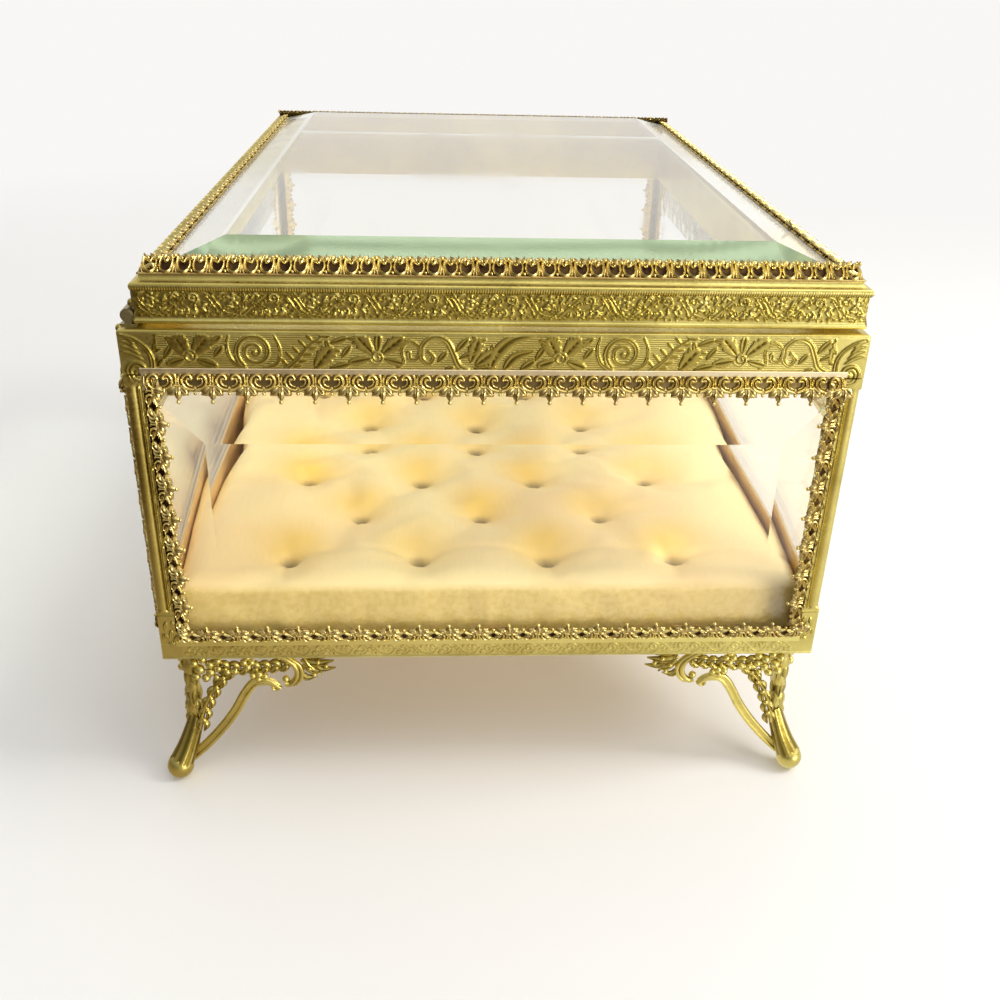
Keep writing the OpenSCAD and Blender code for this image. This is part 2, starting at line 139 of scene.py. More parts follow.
def from_run(a, b, x, y):
    """How far along the run from a to b each place lies, and how far away from it."""
    run = b - a
    t = np.clip(((x - a[0]) * run[0] + (y - a[1]) * run[1]) / (run @ run + 1e-12), 0, 1)
    return t, np.hypot(x - a[0] - t * run[0], y - a[1] - t * run[1])


def grid_faces(rows, cols, closed=False):
    """Quads of a grid of points, whose columns may join up."""
    i, j = np.meshgrid(np.arange(rows - 1), np.arange(cols if closed else cols - 1), indexing="ij")
    after = (j + 1) % cols
    quads = np.stack([i * cols + j, i * cols + after, (i + 1) * cols + after, (i + 1) * cols + j], -1)
    return quads.reshape(-1, 4)


def signed_volume(points, faces):
    total = 0.0
    for quad in faces:
        a, b = points[quad[:, 0]], points[quad[:, 1]]
        for k in range(2, quad.shape[1]):
            c = points[quad[:, k]]
            total += np.einsum("ij,ij->i", a, np.cross(b, c)).sum()
            b = c
    return total


class Form:
    """Closed shapes collected for one piece: points, faces and how worn each point is."""

    def __init__(self):
        self.points, self.faces, self.relief = [], [], []
        self.count = 0

    def join(self, points, faces, relief, turned):
        self.faces += [(face[:, ::-1] if turned else face) + self.count for face in faces]
        self.points.append(points)
        self.relief.append(relief)
        self.count += len(points)

    def add(self, points, faces, relief=1.0):
        points = np.asarray(points, float)
        self.join(points, faces, np.broadcast_to(relief, len(points)),
                  signed_volume(points - points.mean(0), faces) < 0)

    def loft(self, rings, relief=1.0):
        """A closed skin through rings of points, with its ends capped."""
        rings = np.asarray(rings, float)
        n, m = rings.shape[:2]
        ends = np.stack([rings[0].mean(0), rings[-1].mean(0)])
        around = np.arange(m)
        fan = np.stack([around, (around + 1) % m], -1)
        first = np.column_stack([fan[:, ::-1], np.full(m, n * m)])
        last = np.column_stack([fan + (n - 1) * m, np.full(m, n * m + 1)])
        if np.ndim(relief):
            relief = np.concatenate([np.ravel(relief), [np.mean(relief[0]), np.mean(relief[-1])]])
        self.add(np.concatenate([rings.reshape(-1, 3), ends]),
                 [grid_faces(n, m, True), first, last], relief)

    def stamp(self, other, axes, origin):
        """Adds another form, with its three axes turned to these vectors."""
        axes = np.asarray(axes, float)
        self.join(np.concatenate(other.points) @ axes + origin, other.faces,
                  np.concatenate(other.relief), np.linalg.det(axes) < 0)


def smooth(points, steps=6):
    """A curve through the points (Catmull-Rom)."""
    p = np.asarray(points, float)
    p = np.concatenate([[2 * p[0] - p[1]], p, [2 * p[-1] - p[-2]]])
    t = np.linspace(0, 1, steps, endpoint=False)[:, None]
    runs = []
    for a, b, c, d in zip(p, p[1:], p[2:], p[3:]):
        runs.append(0.5 * (2 * b + (c - a) * t + (2 * a - 5 * b + 4 * c - d) * t ** 2
                           + (3 * b - a - 3 * c + d) * t ** 3))
    return np.concatenate(runs + [p[-2:-1]])


def spiral(centre, r0, r1, start, turns, steps=22):
    """A flat curl from radius r0 to r1; start in degrees, turns signed."""
    t = np.linspace(0, 1, steps)
    angle = math.radians(start) + turns * 2 * math.pi * t
    radius = r0 + (r1 - r0) * t
    return np.stack([centre[0] + radius * np.cos(angle), centre[1] + radius * np.sin(angle)], -1)


def flat(path, height=0.0):
    """A flat path lifted to a height."""
    path = np.asarray(path, float)
    return np.column_stack([path, np.broadcast_to(height, len(path))])


def mirror(s, *spots):
    """Flat places, on the other side of the middle where s is -1."""
    return [(s * x, y) for x, y in spots]


def tube(form, path, radius, sides=6, squash=1.0, up=(0, 0, 1)):
    """A bar along a path, whose radius may change along it."""
    path = np.asarray(path, float)
    tangent = unit(np.gradient(path, axis=0))
    side = unit(np.cross(np.broadcast_to(np.asarray(up, float), path.shape), tangent))
    rise = np.cross(tangent, side)
    radius = np.broadcast_to(radius, len(path))[:, None, None]
    a = (np.arange(sides) + sides % 4 / 4) * 2 * math.pi / sides
    ring = np.cos(a)[None, :, None] * side[:, None] + squash * np.sin(a)[None, :, None] * rise[:, None]
    form.loft(path[:, None] + radius * ring)


def wire(form, points, height, radius, squash, sides=6, steps=3):
    """A bar on a smooth flat path at a height; two radii make it taper."""
    path = flat(smooth(points, steps), height)
    tube(form, path, np.linspace(*radius, len(path)) if np.ndim(radius) else radius, sides, squash)


def ball(form, centre, r, squash=1.0, sides=8, rows=5):
    a = np.linspace(0.06, math.pi - 0.06, rows)
    b = np.arange(sides) * 2 * math.pi / sides
    rings = np.stack([np.sin(a)[:, None] * np.cos(b), np.sin(a)[:, None] * np.sin(b),
                      squash * np.cos(a)[:, None] * np.ones(sides)], -1)
    form.loft(np.asarray(centre, float) + r * rings)


def leaf(form, path, width, thick=0.5, base=0.0, groove=0.35):
    """A raised leaf along a flat path, with a groove down its middle."""
    path = smooth(path, 3)
    t = np.linspace(0, 1, len(path))
    half = width / 2 * np.sin(math.pi * np.clip(t, 0.02, 0.98) ** 0.75) ** 0.8
    tangent = unit(np.gradient(path, axis=0))
    side = np.stack([-tangent[:, 1], tangent[:, 0]], -1)
    across = np.array([-1, -0.6, -0.2, 0, 0.2, 0.6, 1, 0])
    crown = 1 - across ** 2 - groove * bell(across, 0.22)
    crown[-1] = 0
    swell = thick * np.sin(math.pi * np.clip(t, 0.05, 0.9)) ** 0.6
    flat_part = path[:, None] + half[:, None, None] * across[None, :, None] * side[:, None]
    height = base + swell[:, None] * crown[None]
    form.loft(np.concatenate([flat_part, height[..., None]], -1),
              np.clip(crown, 0.2, 1) * np.ones((len(path), 1)))


def side_frame(side, w, d, centre_x=0.0):
    """Axes of one side (along it, into it, and up), its origin and its length."""
    ax, ay = ALONG[side]
    axes = np.array([(ax, ay, 0), (-ay, ax, 0), (0, 0, 1)], float)
    return axes, np.array([centre_x + ay * w / 2, -ax * d / 2, 0]), w if ax else d


def put(name, data):
    """A new object in the scene."""
    made = bpy.data.objects.new(name, data)
    bpy.context.scene.collection.objects.link(made)
    return made


def make(name, form, body, material, replaces=(), angle=40):
    """Turns a form into a Blender object that rides on a CAD body."""
    points = np.concatenate(form.points) * MM
    mesh = bpy.data.meshes.new(name)
    mesh.vertices.add(len(points))
    mesh.vertices.foreach_set("co", points.ravel())
    sizes = np.concatenate([np.full(len(f), f.shape[1]) for f in form.faces])
    corners = np.concatenate([f.ravel() for f in form.faces])
    mesh.loops.add(len(corners))
    mesh.loops.foreach_set("vertex_index", corners)
    mesh.polygons.add(len(sizes))
    mesh.polygons.foreach_set("loop_start", np.concatenate([[0], np.cumsum(sizes)[:-1]]))
    mesh.update(calc_edges=True)
    mesh.shade_smooth()
    mesh.set_sharp_from_angle(angle=math.radians(angle))
    worn = mesh.attributes.new("relief", "FLOAT", "POINT")
    worn.data.foreach_set("value", np.concatenate(form.relief).astype(np.float32))
    mesh.materials.append(material)
    piece = put(name, mesh)
    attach(piece, body)
    if replaces:
        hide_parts(*replaces)
    return piece


# ---- stamped relief

class Relief:
    """A height map of stamped ornament, from 0 at its ground to about 1, repeating along x."""

    def __init__(self, length, height, cell=0.1, repeats=True):
        self.length, self.cell, self.repeats = length, cell, repeats
        self.x = (np.arange(round(length / cell)) + 0.5) * cell
        self.z = (np.arange(round(height / cell)) + 0.5) * cell
        self.map = np.zeros((len(self.x), len(self.z)))

    def stroke(self, path, width, rise=1.0, soft=0.2, crown=0.2, vein=0.0):
        """Raises a band along a path; vein is the depth of the groove down its middle."""
        path = np.asarray(path, float)
        half = np.broadcast_to(np.asarray(width, float) / 2, len(path))
        for shift in ((-self.length, 0, self.length) if self.repeats else (0,)):
            self._lay(path + (shift, 0), half, rise, soft, crown, vein)

    def _lay(self, path, half, rise, soft, crown, vein):
        low, high = path.min(0) - half.max() - soft, path.max(0) + half.max() + soft
        cols = np.flatnonzero((self.x > low[0]) & (self.x < high[0]))
        rows = np.flatnonzero((self.z > low[1]) & (self.z < high[1]))
        if not len(cols) or not len(rows):
            return
        px, pz = np.meshgrid(self.x[cols], self.z[rows], indexing="ij")
        depth = np.full(px.shape, -9.0)
        share = np.zeros(px.shape)
        for a, b, wa, wb in zip(path, path[1:], half, half[1:]):
            t, away = from_run(a, b, px, pz)
            wide = wa + (wb - wa) * t
            better = wide - away > depth
            depth = np.where(better, wide - away, depth)
            share = np.where(better, away / (wide + 1e-9), share)
        body = ramp(depth, soft)
        body = body * body * (3 - 2 * body)
        height = rise * body * (1 - crown + crown * np.sqrt(np.clip(1 - share ** 2, 0, 1)))
        height -= vein * body * bell(share, 0.25)
        patch = self.map[cols[0]:cols[-1] + 1, rows[0]:rows[-1] + 1]
        np.maximum(patch, height, out=patch)

    def curve(self, points, width, *rest):
        """A smooth stroke; two widths make it taper."""
        path = smooth(points)
        self.stroke(path, np.linspace(*width, len(path)) if np.ndim(width) else width, *rest)

    def spot(self, x, z, r, rise=1.0):
        self.stroke([(x - 0.02, z), (x + 0.02, z)], 2 * r, rise, 0.2, 0.8)

    def petal(self, start, end, width, rise=0.9, vein=0.35):
        """A leaf that is widest past its middle."""
        start, end = np.asarray(start, float), np.asarray(end, float)
        t = np.linspace(0, 1, 8)
        path = start + (end - start) * t[:, None]
        width = width * (0.25 + 0.75 * np.sin(math.pi * t ** 1.2) ** 0.7)
        self.stroke(path, width, rise, 0.26, 0.2, vein)

    def petals(self, rows, rise=0.9, vein=0.35, base=0.0):
        """Leaves by their start, reach and width."""
        for x, z, dx, dz, width in rows:
            self.petal((base + x, z), (base + x + dx, z + dz), width, rise, vein)

    def plume(self, path, width, rise=0.9, vein=0.35):
        """A leaf that follows a curve and tapers at both ends."""
        path = smooth(path, 5)
        t = np.linspace(0, 1, len(path))
        width = width * (0.2 + 0.8 * np.sin(math.pi * t ** 0.8))
        self.stroke(path, width, rise, 0.26, 0.2, vein)

    def flower(self, x, z, r, petals):
        middle = np.array([x, z])
        for k in range(petals):
            a = math.radians(90 + 360 * (k / petals))
            way = np.array([math.cos(a), math.sin(a)])
            self.petal(middle + way * r * 0.3, middle + way * r, 0.85 * r * 4 / (petals + 1))
        self.spot(x, z, 0.42 * r, 1.1)

    def at(self, x, z):
        """Height at these places, read smoothly between cells."""
        u = np.asarray(x) / self.cell - 0.5
        v = np.clip(np.asarray(z) / self.cell - 0.5, 0, len(self.z) - 1.001)
        i, j = np.floor(u).astype(int), np.floor(v).astype(int)
        fu, fv = u - i, v - j
        n = len(self.x)
        i0, i1 = (k % n if self.repeats else np.clip(k, 0, n - 1) for k in (i, i + 1))
        low, high = (self.map[i0, k] * (1 - fu) + self.map[i1, k] * fu for k in (j, j + 1))
        return low * (1 - fv) + high * fv


def running_scroll():
    """The body's top band: broad flat leaves, fan flowers, paired scrolls and a large curl."""
    r = Relief(73.4, 8.3)
    half = r.length / 2
    broad = 2.6

    def leaves(base, *rows):
        """Leaves by start, reach and width; small ones branch off the broad."""
        for x, z, dx, dz, w in rows:
            start, way = np.array([base + x, z]), np.array([dx, dz])
            r.petal(start, start + way, w, 0.9, 0.5)
            if w < broad:
                continue
            ahead = way / math.hypot(dx, dz)
            for s in (-1, 1):
                for t in (0.35, 0.6, 0.85):
                    tip = (0.5 * ahead + 0.62 * s * np.array([-ahead[1], ahead[0]])) * 0.85 * w
                    r.petal(start + t * way, start + t * way + tip, 0.4 * w, 0.92, 0.4)

    def curled(base, w0, w1, *points):
        r.curve([(base + x, z) for x, z in points], (w0, w1), 1, 0.2, 0.2, 0.5)

    # Fan flower with its ring
    leaves(0, (-0.9, 4, -3.2, 3.6, 3), (0.1, 4.4, 0.3, 3.8, 1.9), (1.1, 4, 4, 3.3, 3.1),
           (1.4, 2.8, 4, -1, 1.9), (-1.3, 2.9, -4.4, -0.9, 2.2))
    r.stroke(spiral((0, 3.2), 1.45, 0.35, 200, 1.6), 0.62, 1.2)
    # Two scrolls that face each other, and the stem that leaves the second
    curled(0, 0.7, 1.1, (4.1, 1), (5.3, 2.2), (4.9, 4.8), (6.4, 6.6), (8.4, 5.2), (8, 3), (6.5, 2.9),
           (6.3, 4.2))
    curled(0, 0.9, 1.5, (10.2, 4.4), (11.2, 3.2), (10.3, 1.9), (8.9, 3), (9, 5.7), (11.2, 7.5),
           (13.8, 6.6), (15.2, 3.9), (16.2, 1.6), (17.8, 0.5))
    leaves(0, (12, 2.2, 1.9, 2.2, 1.5), (15.6, 4.4, 2.6, 2.9, 1.7), (16.3, 3, 3.5, 1.6, 1.5),
           (13.3, 0.7, 2, 0.5, 1.2), (18.6, 2.3, 1.6, 4.8, 2.8), (19.6, 1.6, 3.9, 3, 2.7),
           (19.2, 0.9, 4.6, 0.2, 1.5))
    r.plume([(22.4, 0.6), (24, 4.2), (27, 7), (31.5, 7.9)], 3, 0.9, 0.5)
    r.plume([(25.2, 0.6), (27.6, 3.4), (31.2, 4.6)], 2.3, 0.9, 0.5)
    leaves(0, (28.6, 0.7, 2.9, 2, 1.9), (31.6, 2.6, 1.9, 3, 1.6))
    # Round-lobed flower
    leaves(half, (-0.6, 3.4, -1.9, 3.6, 3.4), (0.9, 3.8, 2.6, 3.2, 3.5), (-1.2, 2.6, -3.4, -1.2, 2.2),
           (1.3, 2.5, 3.8, -1.4, 2.3), (4.2, 5.6, 2.2, 1.9, 1.6), (4.6, 3, 1.9, 2.3, 1.6))
    r.stroke(spiral((half, 3.1), 1.5, 0.35, 160, -1.6), 0.62, 1.2)
    # The large curl, with a second line outside it
    curl = spiral((half + 12.6, 4.2), 3.7, 0.4, 230, -2.1, 50)
    r.stroke(curl, np.linspace(1.3, 0.6, 50), 1, 0.18, 0.2, 0.5)
    r.spot(half + 12.6, 4.2, 0.5, 1.2)
    curled(half, 0.6, 1.2, (7.9, 7.9), (7.3, 5.2), (8.2, 2.2), (10.6, 0.5))
    curled(half, 1.1, 0.6, (14.6, 0.7), (17.1, 2), (17.6, 4.9), (16.6, 7.6))
    # Toothed leaf and a broad leaf
    stem = smooth([(half + 18.4, 0.4), (half + 20.9, 2.6), (half + 23.3, 5.4), (half + 26.4, 7.7)])
    r.stroke(stem, np.linspace(1.3, 0.5, len(stem)), 1, 0.2, 0.2, 0.5)
    for k in range(6):
        at, size = stem[2 + 3 * k], 2.2 - 0.15 * k
        r.petal(at, at + (-0.9 * size, 1 * size), 0.9)
        r.petal(at, at + (1.25 * size, 0.1 * size), 0.9)
    leaves(half, (24.4, 0.9, 3.4, 4.2, 3.3), (27.6, 6, 3.4, 1.2, 1.7), (27.2, 0.8, 4.2, 1, 1.8),
           (29.6, 3, 2, 2.6, 1.5))
    return r


def lid_ornament():
    """The lid's band: clusters of comma leaves and crossed stems on a close floral ground."""
    r = Relief(31, 5.9, 0.08)
    draw = np.random.default_rng(11)
    for k in range(230):
        x, z = 31 * ((k * 0.618) % 1), 0.3 + 5.2 * draw.random()
        a, size = draw.uniform(0, 2 * math.pi), draw.uniform(0.7, 1.5)
        bend = np.array([-math.sin(a), math.cos(a)]) * 0.35 * size
        way = np.array([math.cos(a), math.sin(a)]) * size
        r.plume([(x, z), np.array([x, z]) + way / 2 + bend, np.array([x, z]) + way], 0.5, 0.62, 0)
    for turn in range(2):
        b = 15.5 * turn
        stem = ((-1.5, 0.5), (1.2, 3.1), (4.4, 5.3), (7.8, 4.6), (10.4, 1.5), (14, 0.5))
        r.curve([(b + x, z) for x, z in stem], 0.3, 0.75, 0.18, 0.3)
        for k in range(4 + turn):
            x, size = b + 0.4 + 1.25 * k, 0.8 + 0.12 * k
            r.plume([(x, 0.7), (x + 0.8 * size, 0.7 * size + 0.5), (x + 0.6 * size, 1.6 * size + 0.6)],
                    0.7 * size, 1.1, 0)
        r.stroke(spiral((b + 4.6, 4.1), 1.2, 0.25, 300, 1.3), 0.42, 1)
        for shift in (0, 1.1, 2 * turn):
            r.plume([(b + x + shift, z) for x, z in ((6.6, 5.5), (8.2, 3.2), (9.7, 0.6))], 0.42, 1, 0)
        r.flower(b + 12.4, 3.9, 1.35, 5 + turn)
        r.petals([(*row, 0.75) for row in (
            (9.6, 4.7, 1.5, 0.8), (10.9, 2.7, 1.5, -0.5), (14.2, 3.2, 1, 1.6), (13.5, 1.3, 1.5, 0.9),
            (2.2, 4.4, -1.3, 0.9), (7.2, 1.2, -1.1, 1.1), (6.3, 2.3, 1, 0.6), (0.2, 3.8, 1, 1.4))],
            1, 0, b)
    return r


def base_ornament():
    """The narrow band round the bottom: a running stem of curls and leaves."""
    r = Relief(9.6, 3.9)
    r.stroke(spiral((2, 1.9), 1.5, 0.3, 250, 1.5), 0.45)
    r.curve([(-1.2, 3.2), (0.6, 3.5), (3, 3.4), (4.8, 2.2), (6.4, 0.7), (8.4, 0.6), (9.4, 2)], 0.4, 0.9)
    r.petals([(*row, 0.95) for row in (
        (4.2, 0.4, 0.4, 1.4), (5.2, 0.3, 0.2, 1.1), (5.6, 2.2, 1.1, 1.3), (6.8, 1.4, 0.5, 1.7),
        (7.9, 1.2, 0.3, 2), (9, 2.4, -0.4, 1.2), (3.9, 2.4, -0.5, -0.9), (0.2, 0.5, 0.6, 1))], 0.9, 0.3)
    return r


def post_ornament():
    """The strip up each post, drawn lying down: flowers joined by scrolls."""
    r = Relief(9.3, 1.9)
    r.flower(1.2, 0.95, 0.95, 6)
    r.curve([(2.3, 0.3), (3.6, 0.9), (4.7, 1.6), (5.8, 1.2), (5.6, 0.5), (5, 0.8)], 0.36)
    r.curve([(5.6, 1.5), (6.8, 1), (7.8, 0.3), (8.8, 0.6)], 0.36)
    r.petal((3, 1), (3.7, 1.7), 0.6, 0.8, 0)
    r.petal((7.1, 1), (8.1, 1.6), 0.6, 0.8, 0)
    return r


def head_ornament():
    """The scroll on each upper corner, by distance from the corner and height above HEAD_Z."""
    r = Relief(9, 13, 0.1, False)
    scroll = [(0.7, 11.6), (3.2, 10.7), (5.4, 8.8), (6.3, 6.4), (5.8, 3.6), (4, 2), (2.1, 2.5),
              (1.5, 4.3), (2.5, 5.6), (3.9, 5.3), (4.2, 4.1), (3.3, 3.7)]
    r.curve(scroll, (0.9, 1.9), 1, 0.26, 0.3, 0.6)
    for k in range(4):
        z = 6.6 + 1.1 * k
        r.plume([(4.7 - 0.5 * k, z - 0.2), (2.6 - 0.2 * k, z + 1.1), (0.5, z + 1.6)], 1, 0.9, 0)
    r.plume([(6.6, 8.6), (7.6, 10.2), (7.2, 12)], 1.3, 0.85)
    r.plume([(7, 6.2), (7.9, 7.4), (8.3, 9.2)], 1.1, 0.85)
    r.stroke([(0.2, 0.75), (6.4, 0.75)], 0.4, 0.9)
    return r


def foot_block_ornament():
    """Leaves and a curl on the block at the foot of each post."""
    r = Relief(5, 12.5, 0.1, False)
    r.stroke(spiral((2.5, 2.6), 1.6, 0.35, 110, -1.4), 0.5)
    r.petals([(2.5, 4.4, -1.4, 2.2, 1.1), (2.5, 4.6, 0.2, 3, 1.2), (2.9, 4.4, 1.5, 2, 1.1),
              (1.2, 7.4, 0.6, 2.4, 1), (3.6, 7.2, -0.6, 2.8, 1), (0.8, 5, 0, 1.6, 0.7)])
    r.stroke([(0.3, 11.3), (4.7, 11.3)], 0.35, 0.8)
    return r


SCROLL = running_scroll()
HEAD = head_ornament()
BLOCK = foot_block_ornament()
STRIP = post_ornament()
LID_STAMP = lid_ornament()
BASE_STAMP = base_ornament()
# Where the band's pattern starts on each side
SCROLL_PHASE = {"front": 24.6, "back": 25.0, "left": 40.0, "right": 12.0}


def inlay(height):
    """Wear of flat ornament on a hatched ground: bright ground, dark outline, dull olive inside."""
    inside = 0.74 + 0.2 * np.clip(height - 1, 0, 1)
    step = ramp(height, 0.7)
    return (HATCHED * (1 - step) + inside * step) * (1 - 0.95 * bell(height - 0.42, 0.26))


def upright(low, high, step):
    """Points up the plain face of a profile, no more than step apart."""
    return [(0, z) for z in np.linspace(low, high, math.ceil((high - low) / step) + 1)]


def arc(centre, r, a0, a1, steps):
    a = np.radians(np.linspace(a0, a1, steps))
    return [(centre[0] + r * math.cos(t), centre[1] + r * math.sin(t)) for t in a]


def rail(side, w, d, profile, cell, stamp, centre_x=0.0):
    """A mitred side of a frame. The profile is a loop of depths and heights, and stamp
    gives how far each of its points stands out and how worn it is, by place along the side."""
    axes, origin, length = side_frame(side, w, d, centre_x)
    profile = np.asarray(profile, float)
    share = np.linspace(-1, 1, math.ceil(length / cell) + 1)[:, None]
    x = share * (length / 2 - profile[None, :, 0])
    depth = np.broadcast_to(profile[:, 0], x.shape)
    z = np.broadcast_to(profile[:, 1], x.shape)
    out, relief = stamp(x, depth, z, length)
    form = Form()
    form.loft(np.stack([x, depth - out, z], -1) @ axes + origin, relief)
    return form


# ---- materials

class Tree:
    """Short calls for building the nodes of a material or of the world."""

    def __init__(self, owner):
        owner.use_nodes = True
        self.owner, self.tree = owner, owner.node_tree
        self.tree.nodes.clear()
        self.coords = self.add("TexCoord").outputs
        self.place = self.coords["Object"]

    def add(self, kind, inputs=(), **settings):
        made = self.tree.nodes.new("ShaderNode" + kind)
        for key, value in settings.items():
            setattr(made, key, value)
        for key, value in dict(inputs).items():
            if isinstance(value, bpy.types.NodeSocket):
                self.tree.links.new(value, made.inputs[key])
            else:
                made.inputs[key].default_value = value
        return made

    def node(self, kind, inputs=(), out=0, **settings):
        """Adds a node and returns one of its outputs."""
        return self.add(kind, inputs, **settings).outputs[out]

    def noise(self, scale, detail=3.0, rough=0.55, vector=None, distortion=0.0):
        return self.node("TexNoise", {"Vector": vector or self.place, "Scale": scale, "Detail": detail,
                                      "Roughness": rough, "Distortion": distortion}, "Fac")

    def stretch(self, x, y, z):
        return self.node("Mapping", {"Vector": self.place, "Scale": (x, y, z)})

    def span(self, value, low, high, to_low=0.0, to_high=1.0):
        return self.node("MapRange", {"Value": value, "From Min": low, "From Max": high,
                                      "To Min": to_low, "To Max": to_high})

    def math(self, operation, a, b=0.5):
        return self.node("Math", {0: a, 1: b}, operation=operation, use_clamp=True)

    def times(self, a, b):
        return self.math("MULTIPLY", a, b)

    def dot(self, a, b):
        return self.node("VectorMath", {0: a, 1: b}, "Value", operation="DOT_PRODUCT")

    def mix(self, factor, a, b):
        return self.node("Mix", {0: factor, 6: a, 7: b}, 2, data_type="RGBA")

    def bump(self, height, distance, strength=1.0, **more):
        return self.node("Bump", {"Height": height, "Distance": distance, "Strength": strength, **more})

    def finish(self, shader, kind="Material", **more):
        self.add("Output" + kind, {"Surface": shader, **more})
        return self.owner


def rgb(r, g, b):
    """A colour written as it looks on a screen, 0 to 255."""
    linear = [((c / 255 + 0.055) / 1.055) ** 2.4 if c > 10 else c / 255 / 12.92 for c in (r, g, b)]
    return (*linear, 1.0)


WHITE = (1, 1, 1, 1)


def brass(name, light, deep, tarnish, rough=0.3, grime=0.8, patches=0.35, hatch=False, cad=False):
    """Aged gilt brass: bright where it is rubbed, dull olive where it is lower and dark where it is
    sunk, tarnished in patches. Hatching draws fine level lines on the ground of flat ornament.
    A CAD piece carries no relief, so its wear follows a noise."""
    light, deep, tarnish = rgb(*light), rgb(*deep), rgb(*tarnish)
    t = Tree(bpy.data.materials.new(name))
    worn = (t.span(t.noise(90), 0.3, 0.5, 0.7, 1.0) if cad
            else t.node("Attribute", out="Fac", attribute_name="relief"))
    edges = t.node("NewGeometry", out="Pointiness")
    grain = t.noise(1400, 3, 0.6)
    tone = t.mix(t.span(t.noise(55, 4, 0.6), 0.35, 0.65), light, t.mix(0.5, light, deep))
    tone = t.mix(t.span(t.noise(14, 3, 0.6), 0.4, 0.7, 0.0, 0.4), tone, deep)
    tone = t.mix(t.span(worn, 0.95, 0.5), tone, deep)
    blotch = t.times(t.span(t.noise(130, 5, 0.7, distortion=0.6), 0.52, 0.7), patches)
    tone = t.mix(blotch, tone, tarnish)
    sunk = t.times(t.span(worn, 0.5, 0.0), t.span(t.noise(300, 2), 0.25, 0.6, 0.6, 1.0))
    crease = t.times(t.span(edges, 0.47, 0.4), 0.8)
    dirt = t.times(t.math("MAXIMUM", sunk, crease), grime)
    tone = t.mix(dirt, tone, tarnish)
    rubbed = t.times(t.span(edges, 0.54, 0.62), t.span(worn, 0.1, 0.5, 0.0, 0.6))
    tone = t.mix(rubbed, tone, light)
    scuff = t.noise(60, 3, 0.6, vector=t.stretch(1, 1, 22))
    gloss = t.math("ADD", t.span(grain, 0.3, 0.7, rough - 0.06, rough + 0.1), t.times(dirt, 0.25))
    gloss = t.math("ADD", gloss, t.span(scuff, 0.45, 0.75, 0.0, 0.12))
    normal = t.bump(grain, 0.00003, 0.7)
    if hatch:
        level = t.node("SeparateXYZ", {"Vector": t.place}, "Z")
        turns = t.node("Math", {0: level, 1: 2 * math.pi / (HATCH_PITCH * MM)}, operation="MULTIPLY")
        wave = t.node("Math", {0: turns}, operation="SINE")
        line = t.times(t.span(wave, -0.6, 0.6), t.span(worn, 1.05, 1.35))
        tone = t.mix(t.times(line, 0.55), tone, deep)
        normal = t.bump(line, 0.00009, 0.8, Normal=normal)
    return t.finish(t.node("BsdfPrincipled", {"Base Color": tone, "Metallic": 1.0, "Roughness": gloss,
                                              "Normal": normal}))


def glass(name, green, density, smudge=0.05, ground=0.0):
    """Clear plate glass that tints light along its length; its smudges roughen it a little, and
    the bevels of the lid's plate are softly ground to a pale diffuse, which turns pale green and stronger
    at the front and back ends as painted light piped along the glass."""
    t = Tree(bpy.data.materials.new(name))
    smear = t.span(t.noise(38, 4, 0.6, vector=t.stretch(1, 0.6, 1)), 0.5, 0.75, 0.0, smudge)
    frost_and_piped_glow, frost_and_piped_glow_colour = 0.0, rgb(244, 246, 240)
    if ground:
        facing = t.add("SeparateXYZ", {"Vector": t.coords["Normal"]}).outputs
        bevel = t.times(t.span(facing["Z"], 0.5, 0.9), t.span(facing["Z"], 0.985, 0.965))
        end = t.math("ABSOLUTE", facing["Y"])
        smear = t.math("ADD", smear, t.times(bevel, 0.1))
        # Diffuse share on the bevels: frosting, made stronger at the front and back ends as painted light
        # piped along the glass
        frost_and_piped_glow = t.times(bevel, t.span(end, 0.1, 0.25, 0.5 * ground, ground))
        # Pale green at the ends: painted light piped along the glass
        frost_and_piped_glow_colour = t.mix(t.span(end, 0.1, 0.25), frost_and_piped_glow_colour, rgb(184, 214, 170))
    clear = t.node("BsdfPrincipled", {"Base Color": WHITE, "Roughness": smear, "IOR": 1.5,
                                      "Transmission Weight": 1.0})
    frost_and_piped_glow_diffuse = t.node("BsdfDiffuse", {"Color": frost_and_piped_glow_colour})
    face = t.node("MixShader", {0: frost_and_piped_glow, 1: clear, 2: frost_and_piped_glow_diffuse})
    through = t.node("BsdfTransparent", {"Color": (0.93, 0.95, 0.93, 1)})
    shadow = t.node("LightPath", out="Is Shadow Ray")
    both = t.node("MixShader", {0: shadow, 1: face, 2: through})
    return t.finish(both, Volume=t.node("VolumeAbsorption", {"Color": green, "Density": density}))


